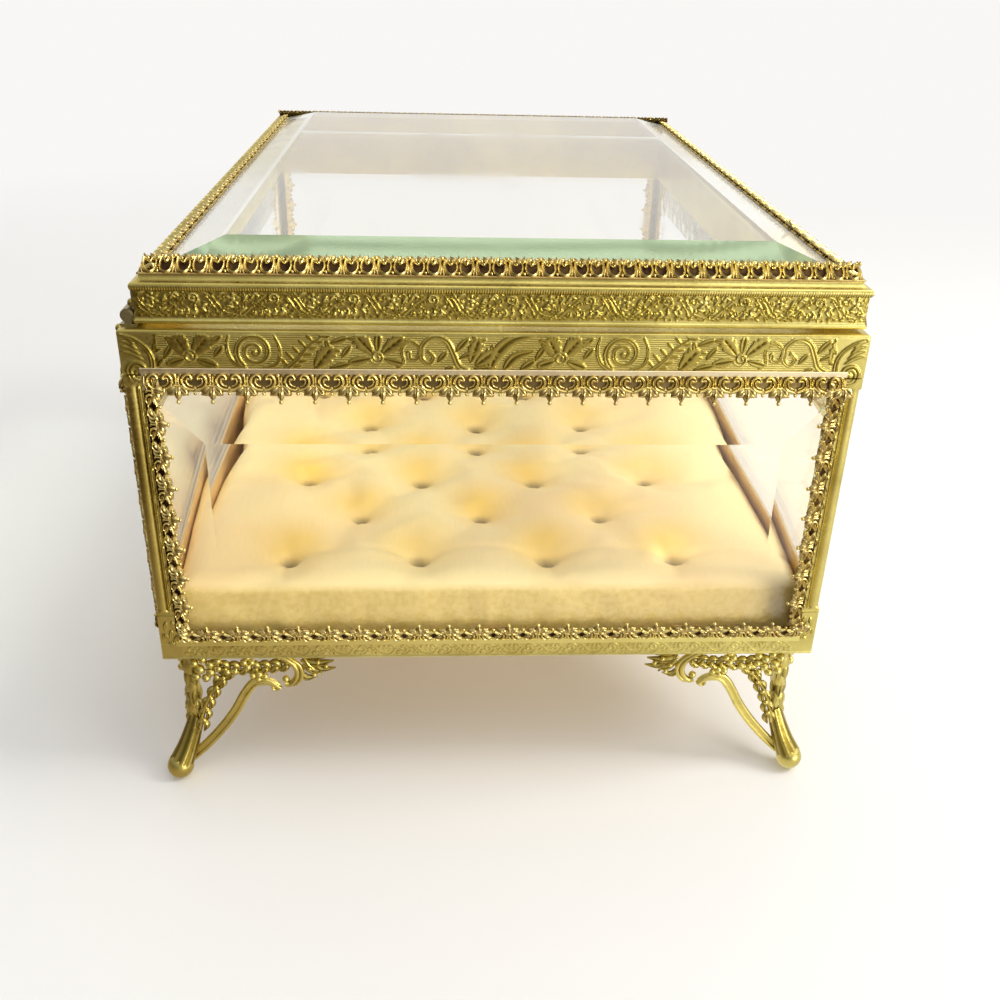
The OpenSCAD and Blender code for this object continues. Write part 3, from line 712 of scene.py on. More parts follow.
def satin(name):
    """Faded satin: cream and peach, with a painted honey glow of light on the slope just behind each
    tuft, darkened by dirt and painted shade at the bottom of each tuft and by painted shade and dust
    along its low sides, with a fine weave that runs along the box."""
    t = Tree(bpy.data.materials.new(name))
    # Two masks from the cushion: a painted glow of light on the slope just behind each tuft, and dirt
    # with painted shade at the bottom of each tuft
    painted_tuft_glow, pit_dirt_and_shade = (t.node("Attribute", out="Fac", attribute_name=part) for part in ("painted_tuft_glow", "pit_dirt_and_shade"))
    tone = t.mix(t.span(t.noise(18, 2, 0.5), 0.4, 0.62), rgb(254, 232, 172), rgb(253, 220, 160))
    patchy = t.span(t.noise(30, 3, 0.5), 0.35, 0.6, 0.45, 1.0)
    # Painted glow of light: honey colour on the slope just behind each tuft, where the satin catches the
    # light
    tone = t.mix(t.times(painted_tuft_glow, patchy), tone, rgb(252, 208, 96))
    threads = t.noise(420, 2, 0.5, vector=t.stretch(9, 0.35, 9))
    tone = t.mix(t.span(threads, 0.35, 0.7, 0.0, 0.14), tone, rgb(232, 186, 126))
    level = t.node("SeparateXYZ", {"Vector": t.place}, "Z")
    # Painted shade with dust: the satin turns darker tan towards its low sides, with a dust speckle
    low = t.span(level, (BOLSTER_HIGH[2] - 5.2) * MM, (BOLSTER_HIGH[2] - 3.6) * MM, 1.0, 0.0)
    speckle = t.span(t.noise(700, 3, 0.6), 0.4, 0.65, 0.75, 1.0)
    tone = t.mix(t.times(low, speckle), tone, rgb(216, 184, 104))
    # Dirt and painted shade: dark brown at the bottom of each tuft
    tone = t.mix(t.times(pit_dirt_and_shade, 0.95), tone, rgb(84, 60, 28))
    weave = t.noise(2600, 1, 0.5)
    normal = t.bump(t.math("ADD", threads, t.times(weave, 0.4)), 0.00008, 0.5)
    return t.finish(t.node("BsdfPrincipled", {
        "Base Color": tone, "Roughness": t.span(threads, 0.3, 0.7, 0.38, 0.55), "Sheen Weight": 0.35,
        "Sheen Roughness": 0.4, "Sheen Tint": rgb(255, 244, 214), "Normal": normal}))


def plain(name, a, b, scale, rough, bump, metallic=0.0):
    """Board, thread and screws: two tones with grain."""
    t = Tree(bpy.data.materials.new(name))
    grain = t.noise(scale, 4, 0.6)
    return t.finish(t.node("BsdfPrincipled", {
        "Base Color": t.mix(t.span(grain, 0.3, 0.7), a, b), "Metallic": metallic,
        "Roughness": t.span(grain, 0.3, 0.7, rough - 0.08, rough + 0.1), "Normal": t.bump(grain, bump)}))


STAMPED = brass("stamped_brass", (246, 230, 142), (160, 138, 54), (56, 40, 16), 0.31, 1.0, 0.15, True)
ROLLED = brass("rolled_brass", (244, 226, 136), (164, 142, 58), (84, 60, 28), 0.27, 0.8, 0.2)
TRIM = brass("trim_brass", (248, 228, 148), (156, 124, 72), (52, 34, 24), 0.25, 1.0, 0.4)
CAST = brass("cast_brass", (232, 214, 124), (146, 124, 50), (52, 38, 16), 0.3, 1.0, 0.5)
FLANGE = brass("trim_flange", (242, 226, 186), (208, 184, 146), (140, 108, 88), 0.38, 0.8, 0.6)
HINGE = brass("hinge_metal", (178, 168, 132), (134, 122, 92), (70, 58, 44), 0.38, 0.8, 0.6, cad=True)
RIVET = brass("rivet_brass", (214, 190, 104), (140, 118, 56), (60, 44, 24), 0.3, 0.8, 0.4, cad=True)
INNER = brass("inner_brass", (240, 216, 172), (208, 178, 134), (156, 120, 84), 0.42, 0.6, 0.4, cad=True)
WALL_GLASS = glass("wall_glass", (0.22, 0.56, 0.06, 1), 3.2)
LID_GLASS = glass("lid_glass", (0.34, 0.66, 0.1, 1), 2.6, 0.08, 0.42)
SATIN = satin("satin")
THREAD = plain("thread", rgb(150, 108, 62), rgb(112, 76, 44), 2000, 0.8, 0.0001)
BOARD = plain("board", rgb(176, 140, 100), rgb(150, 116, 82), 300, 0.85, 0.0001)
STEEL = plain("screw_steel", rgb(150, 146, 136), rgb(110, 104, 92), 500, 0.4, 0.00003, 1.0)


# ---- body frame

def top_rail(side):
    """Stamped band, ledge and the channel lip inside it."""
    lower, upper, edge = BAND_Z, RIM_Z, 0.5
    under, lip = upper - SHEET, LIP_IN + LIP_T
    profile = ([(SHEET, lower), (0.2, lower)] + upright(lower + 0.25, upper - edge, FACE_STEP)
               + arc((edge, upper - edge), edge, 165, 90, 5)
               + [(LEDGE_W - 0.2, upper), (LEDGE_W, upper - 0.2), (LEDGE_W, under), (lip, under),
                  (lip, LIP_Z), (LIP_IN, LIP_Z), (LIP_IN, under), (SHEET, under)])

    def stamp(x, depth, z, length):
        near = length / 2 - np.abs(x)
        band = SCROLL.at(x + SCROLL_PHASE[side], z - lower - 0.9)
        corner = HEAD.at(near, z - HEAD_Z)
        blend = ramp(near - HEAD_W, 0.8)
        height = corner * (1 - blend) + band * blend
        flat_part = (depth < 0.01) & (z > lower + 0.2)
        fade = ramp(upper - edge - z, 0.4) * flat_part
        tone = inlay(height) * (1 - 0.35 * (1 - blend) * (height < 0.2))
        return 0.75 * STAMP_DEPTH * height * fade, np.where(flat_part, tone * fade + (1 - fade), 0.8)

    make(f"top_rail_{side}", rail(side, BODY_W, BODY_D, profile, BAND_CELL, stamp), "body", STAMPED,
         [f"top_rail_{side}"])


def bottom_rail(side):
    """Stamped band, flange and the seat of the pane."""
    lower, upper = BASE_Z, BASE_BAND_Z
    seat, pan = LIP_IN + BASE_Z, lower + SHEET
    profile = ([(0.15, lower)] + upright(lower + 0.4, upper - 0.1, 0.16)
               + [(0.1, upper), (SHEET, upper), (SHEET, seat), (LIP_IN, seat), (LIP_IN, pan),
                  (FLANGE_W, pan), (FLANGE_W, lower)])

    def stamp(x, depth, z, length):
        height = BASE_STAMP.at(x + 3.0, z - lower - 0.5)
        face = depth < 0.01
        fade = face * ramp(z - lower - 0.6, 0.2) * ramp(length / 2 - np.abs(x) - POST_FACE, 0.3)
        plain_edge = 0.15 * face * ramp(lower + 0.65 - z, 0.2)
        tone = 0.98 - 0.55 * bell(height - 0.4, 0.2)
        worn = np.where(face, tone * fade + 1 - fade, 0.8)
        return STAMP_DEPTH * 0.5 * height * fade + plain_edge, worn

    make(f"bottom_rail_{side}", rail(side, BODY_W, BODY_D, profile, BASE_CELL, stamp), "body", STAMPED,
         [f"bottom_rail_{side}"])


def corner_post(corner):
    """Two stamped legs joined by a rolled bead; square at its foot and head."""
    sx, sy = CORNERS[corner]
    q = np.linspace(-POST_FACE, POST_FACE, 99)
    s = np.abs(q)
    on_right = q[:, None] > 0
    bead = 2 * BEAD_R
    square = np.where(on_right, np.stack([s, 0 * s], -1), np.stack([0 * s, s], -1))
    turn = np.radians(-135 + 125 * q / bead)
    rolled = BEAD_R + BEAD_R * np.stack([np.cos(turn), np.sin(turn)], -1)
    beaded = np.where((s < bead)[:, None], rolled, square)
    ridge = 0.36 * bell(s - bead - 0.25, 0.16)
    z = np.arange(BASE_BAND_Z, BAND_Z + 0.01, 0.22)
    shape = ramp(z - BEAD_Z0, 0.7) * ramp(BEAD_Z1 - z, 0.7)
    shape = (shape * shape * (3 - 2 * shape))[:, None]
    qq, zz = np.meshgrid(s, z)
    strip = STRIP.at(zz, qq - bead - 0.35) * (qq > bead + 0.3)
    head = HEAD.at(qq, zz - HEAD_Z) * (zz > BEAD_Z1)
    block = BLOCK.at(qq, zz - BASE_Z - 0.4) * (zz < BEAD_Z0)
    height = strip * shape + np.maximum(head, block) * (1 - shape)
    out = STAMP_DEPTH * height + ridge * shape
    outer = square[None] * (1 - shape[..., None]) + beaded[None] * shape[..., None]
    outer = outer + out[..., None] * np.where(on_right, (0.0, -1.0), (-1.0, 0.0))
    fold = SHEET + 2.2
    inner = np.array([[POST_FACE, SHEET], [fold, SHEET], [SHEET, fold], [SHEET, POST_FACE]])
    inner = (np.broadcast_to(inner, (len(z), 4, 2))
             + 1.9 * shape[..., None] * np.array([[0, 0], [0, 1], [1, 0], [0, 0]]))
    plan = np.concatenate([outer, inner], 1)
    engraved = 0.95 - 0.7 * bell(height - 0.4, 0.2)
    tone = np.where((shape > 0.5) & (qq <= bead + 0.5), 1.0, engraved)
    relief = np.concatenate([tone, np.full((len(z), 4), 0.5)], 1)
    x = -sx * plan[..., 0] + sx * BODY_W / 2
    y = -sy * plan[..., 1] + sy * BODY_D / 2
    form = Form()
    form.loft(np.stack([x, y, np.broadcast_to(z[:, None], x.shape)], -1), relief)
    make(f"corner_post_{corner}", form, "body", ROLLED, [f"corner_post_{corner}"], 50)


# ---- pierced trim

def plate(form, outline, thick, relief):
    """A thin flat plate behind pierced work, cleaner on its back; its front is set dark as a painted
    shade that shows through the piercings.
    """
    form.loft([flat(outline, 0.0), flat(outline, thick)],
              np.repeat([[0.9], [relief]], len(outline), axis=1))


def window_motif(backing_shade, leafy=False):
    """One repeat of the window trim: paired C-scrolls round an eye, and a ribbed fan beside them.
    x runs along the strip, y away from its flange, and z out of it. The sides and sill are leafier."""
    m = Form()
    # The backing plate's front is darkened to a painted shade that shows through the piercings
    plate(m, [(-NECK, -0.3), (NECK, -0.3), (NECK, 1.9), (2.6, 1.8), (2.2, 2.9), (1.1, 3.5), (-1.1, 3.5),
              (-2.2, 2.9), (-2.6, 1.8), (-NECK, 1.9)], 0.1, backing_shade)
    for s in (-1, 1):
        if leafy:
            leaf(m, mirror(s, (0.7, 2.9), (1.7, 3.9), (2.3, 4.9)), 1.3, 0.8, 0.1)
            leaf(m, mirror(s, (1, 1.9), (2.2, 2.9), (2.9, 3.8)), 1.3, 0.9, 0.2)
            leaf(m, mirror(s, (0.3, 0.7), (1.2, 1.6), (2.3, 2.2)), 1.2, 0.95, 0.2)
        wire(m, mirror(s, (0.5, 1.2), (0.95, 0.55), (1.75, 0.55), (2.4, 1.4), (2.3, 2.4), (1.55, 3.15),
                       (0.3, 3.5)), 0.42, (0.24, 0.36), 1.25)
        wire(m, mirror(s, (0.95, 1.35), (1.45, 1.2), (1.6, 1.9), (1.25, 2.5), (0.5, 2.8)), 0.35,
             (0.32, 0.2), 1.2)
        ball(m, (s * 0.62, 1.3, 0.45), 0.33, 1, 6, 4)
        leaf(m, mirror(s, (2.5, 0.2), (3, 0.7), (3.1, 1.7)), 0.8, 0.55)
        wire(m, mirror(s, (NECK - 0.3, 0.8), (NECK - 0.25, 2.2), (NECK - 0.75, 3.4)), 0.34, 0.24, 1.2)
        lobe = [(NECK + s * x, y) for x, y in ((0.2, 2.6), (1.2, 3.8), (2.2, 4.6))]
        leaf(m, lobe, 2.2, 0.9, 0.15, 0.4)
    leaf(m, [(-0.55, 0.3), (0, 0.55), (0.55, 0.3)], 0.7, 0.5)
    leaf(m, [(0, 2.7), (0, 3.5), (0, 4.4)], 1.05, 0.6, 0.05, 0.2)
    ball(m, (0, 4.25, 0.3), 0.4, 0.9)
    fan = [(-0.4, 1), (0.4, 1), (0.5, 2.7), (1.4, 3.5), (1.9, 4.3), (0.7, 4.5), (0, 5.4), (-0.7, 4.5),
           (-1.9, 4.3), (-1.4, 3.5), (-0.5, 2.7)]
    # Backing of the fan, darkened to a painted shade a little lighter than the main backing
    plate(m, [(NECK + x, y) for x, y in fan], 0.2, backing_shade + 0.15)
    leaf(m, [(NECK, 2.5), (NECK, 4.2), (NECK, 5.8)], 2, 0.95, 0.2, 0.4)
    tube(m, flat([(NECK - 0.6, 2.55), (NECK, 2.75), (NECK + 0.6, 2.55)], 0.55), 0.28)
    ball(m, (NECK, 6, 0.3), 0.46)
    return m


def lid_motif():
    """One repeat of the lid trim: a pair of leaning horseshoe loops by its flange, curls and leaves
    above. It stands out on both faces, because its back shows in the glass."""
    m = Form()
    outline = [(-NECK, 0), (NECK, 0), (NECK, 3.3), (2.2, 3.7), (0.9, 3.4), (-0.9, 3.4), (-2.2, 3.7),
               (-NECK, 3.3)]
    # The plate inside the loops is darkened on both faces to a painted shade
    m.loft([flat(outline, 0.06), flat(outline, 0.14)], 0)
    for s in (-1, 1):
        wire(m, mirror(s, (0.95, 3.7), (0.4, 2.5), (0.5, 1.2), (1.4, 0.4), (2.5, 0.75), (2.95, 1.9),
                       (2.9, 3.2)), 0.22, (0.26, 0.42), 1.5)
        wire(m, mirror(s, (1.3, 3.7), (1.25, 2.9), (1.6, 2.4), (2, 2.7)), 0.22, (0.2, 0.36), 1.6)
        ball(m, (s * 2.05, 3.1, 0.3), 0.36, 1.3, 6, 4)
        for lift in (0.05, -0.75):
            leaf(m, mirror(s, (1.9, 3), (2.7, 3.3), (3.1, 4.1)), 1.4, 0.75, lift)
            leaf(m, mirror(s, (0.3, 3.2), (1.1, 3.4), (1.8, 4.1)), 1.4, 0.75, lift)
        leaf(m, mirror(s, (NECK - 0.45, 0.2), (NECK - 0.15, 1.6), (NECK - 0.35, 3.2)), 0.7, 0.6, 0.1,
             0.2)
    leaf(m, [(0, 2.7), (0, 3.5), (0, 4.3)], 1.3, 0.75)
    ball(m, (0, 3.1, 0.25), 0.48, 1.4, 6, 4)
    ball(m, (0, 0.7, 0.25), 0.36, 1, 6, 4)
    ball(m, (NECK, 3.5, 0.25), 0.48, 1.4, 6, 4)
    return m


# The first argument darkens the backing plates to a painted shade
TOP_MOTIF, SIDE_MOTIF = window_motif(0.22), window_motif(0, True)
LID_MOTIF = lid_motif()


def run_of(form, motif, start, end, pitch, axes, origin):
    """Repeats a motif of the trim from start to end, about pitch apart, along the first axis."""
    count = max(1, round((end - start) / pitch))
    step = (end - start) / count
    scaled = np.array(axes, float)
    scaled[0] *= step / TRIM_PITCH
    for k in range(count):
        form.stamp(motif, scaled, origin + (start + (k + 0.5) * step) * axes[0])


def leaning(away, into, height, degrees):
    """Two axes of a strip whose tips lean out: towards its tips, and out of its face."""
    lean = math.radians(degrees)
    return (height * (away * math.cos(lean) - into * math.sin(lean)),
            -into * math.cos(lean) - away * math.sin(lean))


def bar(form, x0, x1, y0, y1, z0, z1, axes, origin, relief=1.0):
    """A long strip with softened edges."""
    e = min(0.12, (y1 - y0) / 3, (z1 - z0) / 3)
    loop = [(y0, z0), (y1, z0), (y1, z1 - e), (y1 - e, z1), (y0 + e, z1), (y0, z1 - e)]
    n = max(2, round((x1 - x0) / 3))
    rings = [[(x, *p) for p in loop] for x in np.linspace(x0, x1, n)]
    form.loft(np.array(rings) @ np.asarray(axes, float) + origin, relief)


def window_trim(side):
    """Trim round one window. Its tips lean out over the bevel of the pane."""
    (along, inward, up), origin, length = side_frame(side, BODY_W, BODY_D)
    form = Form()
    top, bottom = BAND_Z + 0.7, BASE_BAND_Z + 0.8
    edge = length / 2 - 4.1
    on_end = side in ("front", "back")
    for sign, level, height, motif in ((-1, top, 0.98, TOP_MOTIF), (1, bottom, 0.78, SIDE_MOTIF)):
        tips = leaning(sign * up, inward, height, TRIM_LEAN)
        run_of(form, motif, -edge, edge, TRIM_PITCH, (along, *tips), origin + level * up - 0.1 * inward)
    for sign in (-1, 1):
        tips = leaning(-sign * along, inward, 0.72, TRIM_LEAN if on_end else LONG_SIDE_LEAN)
        run_of(form, SIDE_MOTIF, bottom + 2.6, top - 3.4, TRIM_PITCH, (up, *tips),
               origin + sign * edge * along - 0.25 * inward)
    make(f"window_trim_{side}", form, "body", TRIM, [f"galloon_{side}"], 60)
    strip = Form()
    end, head = edge + 0.5, origin + top * up
    bar(strip, -end, end, -0.9, 0.3, 0.02, 0.42, (along, -up, -inward), head)
    bar(strip, -0.35, 3.8, -0.4, 0.5, 0.02, 0.38, (-up, along, -inward), head - edge * along)
    make(f"trim_flange_{side}", strip, "body", FLANGE)
    sill = Form()
    bar(sill, -end, end, -1.1, 0.25, 0.02, 0.62, (along, up, -inward), origin + bottom * up)
    make(f"trim_sill_{side}", sill, "body", STAMPED)


def lid_trim(side):
    """Trim round the lid, leaning in over its pane."""
    (along, inward, up), origin, length = side_frame(side, LID_W, LID_D, LID_X)
    lean, height = (LID_END_LEAN, 1.18) if side in ("front", "back") else (LONG_SIDE_LEAN, 1)
    away, out = leaning(inward, -up, 1, lean)
    base = origin + (BEZEL_IN - 0.3) * inward + (BEZEL_Z - 0.1) * up
    form = Form()
    end = length / 2 - BEZEL_IN
    run_of(form, LID_MOTIF, -end + 0.4, end - 0.4, LID_TRIM_PITCH, (along, height * away, out), base)
    bar(form, -end, end, -0.1, 0.45, 0.0, 0.32, (along, away, out), base, 0.5)
    if side == "right":
        # One leaf bent upright
        bent = Form()
        leaf(bent, [(0, 0), (0.5, 0.9), (0.3, 1.9)], 1.9, 0.4)
        form.stamp(bent, (along, up * 0.94 + inward * 0.34, -inward), base + 4.2 * away - 66 * along)
    make(f"lid_trim_{side}", form, "lid", TRIM, [f"lid_galloon_{side}"], 60)


# ---- lid frame

def lid_rail(side):
    """Rolled edge, stamped band, cove moulding, bezel and the plate under the pane."""
    lower, upper = LID_LOW[2], LID_PLATE_Z
    band0, band1 = lower + 1.25, upper - 1.15
    inner, under = BEZEL_IN + SHEET, upper - SHEET
    profile = (arc((ROLL_R * 0.3, lower + ROLL_R), ROLL_R, 300, 120, 9)
               + upright(band0, band1, FACE_STEP) + [(0, upper - 0.2)]
               + arc((-0.1, BEZEL_Z + 0.1), 1.45, -82, -8, 6)
               + [(BEZEL_IN, BEZEL_Z), (inner, BEZEL_Z), (inner, upper), (LID_PLATE_W, upper),
                  (LID_PLATE_W, under), (SHEET, under), (SHEET, lower + 0.3)])

    def stamp(x, depth, z, length):
        on_face = (np.abs(depth) < 0.01) & (z >= band0 - 0.01) & (z <= band1 + 0.01)
        height = LID_STAMP.at(x + 4.0, z - band0)
        fade = on_face * ramp(z - band0, 0.3) * ramp(band1 - z, 0.3)
        ends = ramp(length / 2 - np.abs(x) - 0.5, 0.6)
        tone = 0.72 + 0.28 * np.clip(height, 0, 1) - 0.6 * bell(height - 0.32, 0.18)
        return STAMP_DEPTH * height * fade * ends, np.where(on_face, tone * fade + 1 - fade, 1.0)

    make(f"lid_rail_{side}", rail(side, LID_W, LID_D, profile, BAND_CELL, stamp, LID_X), "lid", STAMPED,
         [f"lid_rail_{side}"])


def lid_beading(side):
    """The ribbed lip round the lid."""
    level = LID_PLATE_Z - 0.55
    a = np.radians(np.arange(0, 360, 24))
    profile = np.stack([-LIP_R * np.cos(a), level + 0.85 * np.sin(a)], -1)
    rib_pitch = 0.5

    def stamp(x, depth, z, length):
        under = ramp(level - z, 0.25) * (depth < 0.1)
        ribs = 0.5 + 0.5 * np.cos(2 * math.pi * x / rib_pitch)
        return 0.2 * (ribs - 0.6) * under, 1 - 0.85 * under * (1 - ribs)

    make(f"lid_beading_{side}", rail(side, LID_W, LID_D, profile, rib_pitch / 4, stamp, LID_X), "lid",
         ROLLED)


# ---- feet

def berries(form, height, squash, *spots):
    """Balls by their place and radius."""
    for x, y, r in spots:
        ball(form, (x, y, height), r, squash)


def wing_form():
    """One wing of a foot in its own plane: x from the corner, y up from the body, z outward."""
    w = Form()
    tube(w, flat([(4.7, -0.5), (15, -0.5), (39.5, -0.5)], 0.4), 0.55, 8, 1.4)
    # C-scroll ring, double ridged
    ring = np.array([(24.6, -0.6), (26.8, -1.6), (28.9, -3.4), (29.6, -5.4), (29.2, -7.4), (27.8, -8.9),
                     (26.6, -8.7)])
    wire(w, ring, 0.5, (0.6, 0.75), 1.3, 8, 4)
    wire(w, ring + (1.15, -0.1), 0.35, (0.5, 0.6), 1.3, 8, 4)
    ball(w, (26.9, -7.5, 0.5), 0.95)
    # Acanthus at the wing's end
    for width, *path in (
            (1.9, (30.5, -1), (34.5, -1.4), (39.6, -0.5)), (2.2, (30.5, -2.6), (34, -3.4), (38.2, -2.6)),
            (2.2, (30.8, -3.8), (33.4, -5.4), (36.6, -5.2)),
            (1.9, (30.2, -5.6), (31.6, -7.4), (34.2, -7)),
            (1.6, (33.2, -3), (35.2, -5), (38.6, -4.6)), (1.6, (31, -1.6), (32.4, -3.8), (35.2, -6.6))):
        leaf(w, path, width, 1.25, 0, 0.5)
    berries(w, 0.85, 1, (34.6, -2.6, 0.62), (36.4, -3.7, 0.62), (32.6, -4.4, 0.62), (33.6, -6.2, 0.62))
    # Garland of leaves and berries
    for k in range(8):
        x, y = 28.4 - 2.35 * k, -3.6 - 0.8 * math.sin(0.4 * k)
        leaf(w, [(x, y - 0.4), (x - 1.3, y + 1.15), (x - 2.9, y + 0.9)], 1.9, 1.3, 0.2, 0.45)
        leaf(w, [(x - 0.6, y + 0.2), (x - 1.9, y - 1.25), (x - 3.3, y - 0.9)], 1.9, 1.2, 0.2, 0.45)
        ball(w, (x - 1, y, 0.95), 0.55, 1, 6, 4)
    berries(w, 0.75, 0.9, (18.4, -1.2, 0.95), (17.6, -2.5, 1), (19.3, -2.5, 0.9), (18.4, -3.8, 1),
            (20.9, -5.9, 1), (19.4, -6.3, 0.9), (22.2, -6.6, 0.85), (20.6, -7.3, 0.8), (15.4, -4.9, 0.95),
            (13.6, -5.1, 0.95))
    # Strut to the toe: two ridges side by side, with a curl at its head
    strut = np.array([(25, -9.6), (23.6, -8.5), (21.8, -8), (19.4, -8.5), (17.2, -11.4), (14.6, -16.2),
                      (11.2, -21.2), (7, -26.2), (3, -30.2)])
    wire(w, strut, 0.25, 0.95, 0.7, 8, 5)
    wire(w, strut + (0.5, -0.5), 0.5, 0.62, 1.25, 8, 5)
    wire(w, strut + (-0.45, 0.45), 0.5, 0.54, 1.25, 8, 5)
    tube(w, flat(spiral((24.5, -9.9), 0.95, 0.3, 100, 0.9, 14), 0.5), 0.42, 6, 1.3)
    # Husk that curves down to the column
    for x, y, dx, dy in ((14.6, -5, -2.4, -2.4), (12.4, -7, -2, -3.2), (10.6, -9.8, -1.7, -3.4),
                         (9, -12.8, -1.5, -3.6), (7.8, -16, -1.2, -3.6), (6.8, -19.2, -0.9, -3.4)):
        for s in (1, -1):
            side = np.array([-dy, dx]) / math.hypot(dx, dy) * 0.55 * s
            leaf(w, [(x, y), (x + 0.45 * dx + side[0] * 1.7, y + 0.45 * dy + side[1] * 1.7),
                     (x + dx + side[0], y + dy + side[1])], 1.7, 1.3, 0.1, 0.4)
        ball(w, (x + 0.2, y + 0.2, 0.9), 0.6)
    wire(w, [(16.4, -5.2), (12.6, -7.2), (9.2, -11.6), (6.9, -17), (5.6, -22)], 0.3, 0.6, 1.2, 6, 5)
    # Berries by the corner
    berries(w, 0.7, 0.9, (11.6, -2, 1.1), (9.8, -3, 1.2), (8.2, -1.6, 1.1), (7.4, -4.4, 1.35),
            (9.8, -5.2, 1.2), (11.6, -4.2, 1), (6.2, -2.6, 1.2), (8.6, -6.8, 1.1), (6.4, -6.4, 1.1),
            (11, -6.6, 0.8))
    return w


WING = wing_form()
WING_MID = 2.9
COLUMN_IN = 4.7
TOE = np.array([0.5, 0.5, 2.82])
TOE_R = 3.1


def foot(corner):
    """A foot is drawn as if at the front left, then turned to its corner."""
    sx, sy = CORNERS[corner]
    local = Form()
    local.stamp(WING, ((1, 0, 0), (0, 0, 1), (0, -1, 0)), (0, WING_MID, BASE_Z))
    local.stamp(WING, ((0, 1, 0), (0, 0, 1), (-1, 0, 0)), (WING_MID, 0, BASE_Z))
    # Column with leaf husks
    z = np.linspace(BASE_Z - 0.2, 13.0, 12)
    girth = 1.5 + 0.45 * np.cos((BASE_Z - z) * 1.15)
    tube(local, [(COLUMN_IN, COLUMN_IN, level) for level in z], girth, 10, up=(1, 0, 0))
    husk = Form()
    leaf(husk, [(0, 2.6), (0, 0), (0, -3.0)], 2.3, 1.1, 0.0, 0.45)
    for k, level in enumerate((26.0, 21.4, 17.2)):
        for turn in range(4):
            a = math.radians(225 + 90 * turn + 45 * (k % 2))
            out = np.array([math.cos(a), math.sin(a), 0])
            local.stamp(husk, ((-out[1], out[0], 0), (0, 0, 1), out),
                        np.array([COLUMN_IN, COLUMN_IN, level]) + 1.1 * out)
    # Fluted leg, spreading into the toe
    start = np.array([COLUMN_IN, COLUMN_IN, 14.6])
    t = np.linspace(0, 1, 14)[:, None]
    line = start + (TOE + (0.1, 0.1, 0.8) - start) * t
    line[:, 2] -= 0.9 * np.sin(math.pi * t[:, 0])
    across = np.array([1, -1, 0]) / math.sqrt(2)
    rise = np.cross(across, unit(np.gradient(line, axis=0)))
    a = np.linspace(0, 2 * math.pi, 36, endpoint=False)
    flute = 0.075 * np.cos(9 * a)[None]
    radius = (1.9 + 1.15 * t) * (1 + flute)
    rings = (line[:, None] + (radius * np.cos(a))[..., None] * across
             + (0.85 * radius * np.sin(a))[..., None] * rise[:, None])
    local.loft(rings, np.clip(0.6 + 4 * flute + 0 * radius, 0.1, 1))
    ball(local, TOE, TOE_R, 1.0, 24, 15)
    local.points[-1][:, 2] = np.maximum(local.points[-1][:, 2], 0.0)
    # Pad under the pan
    pad = [(2.4, 2.4), (12.5, 2.4), (12.5, 5.4), (5.4, 12.5), (2.4, 12.5)]
    local.loft([flat(pad, BASE_Z - 1.2), flat(pad, BASE_Z - 0.01)], 0.3)
    form = Form()
    form.stamp(local, ((-sx, 0, 0), (0, -sy, 0), (0, 0, 1)), (sx * BODY_W / 2, sy * BODY_D / 2, 0))
    make(f"foot_{corner}", form, "body", CAST, [f"foot_{corner}"], 60)


# ---- cushion

TUFT_PITCH, TUFT_ROW, TUFT_ROWS, TUFT_END, TUFT_SHIFT = 30.0, 20.6, 10, 15.3, -1.8
CLOTH_STEP = 2.15


def tufts():
    """Places of the tufts, four and three to a row by turns."""
    for row in range(TUFT_ROWS):
        count = 4 - row % 2
        y = -BODY_D / 2 + TUFT_END + row * TUFT_ROW
        for i in range(count):
            yield TUFT_SHIFT + (i - (count - 1) / 2) * TUFT_PITCH, y


TUFT_SPOTS = np.array(list(tufts()))
TUFT_PAIRS = [(a, b) for i, a in enumerate(TUFT_SPOTS) for b in TUFT_SPOTS[i + 1:]
              if 1 < abs(b[1] - a[1]) < 1.5 * TUFT_ROW and abs(b[0] - a[0]) < TUFT_PITCH]


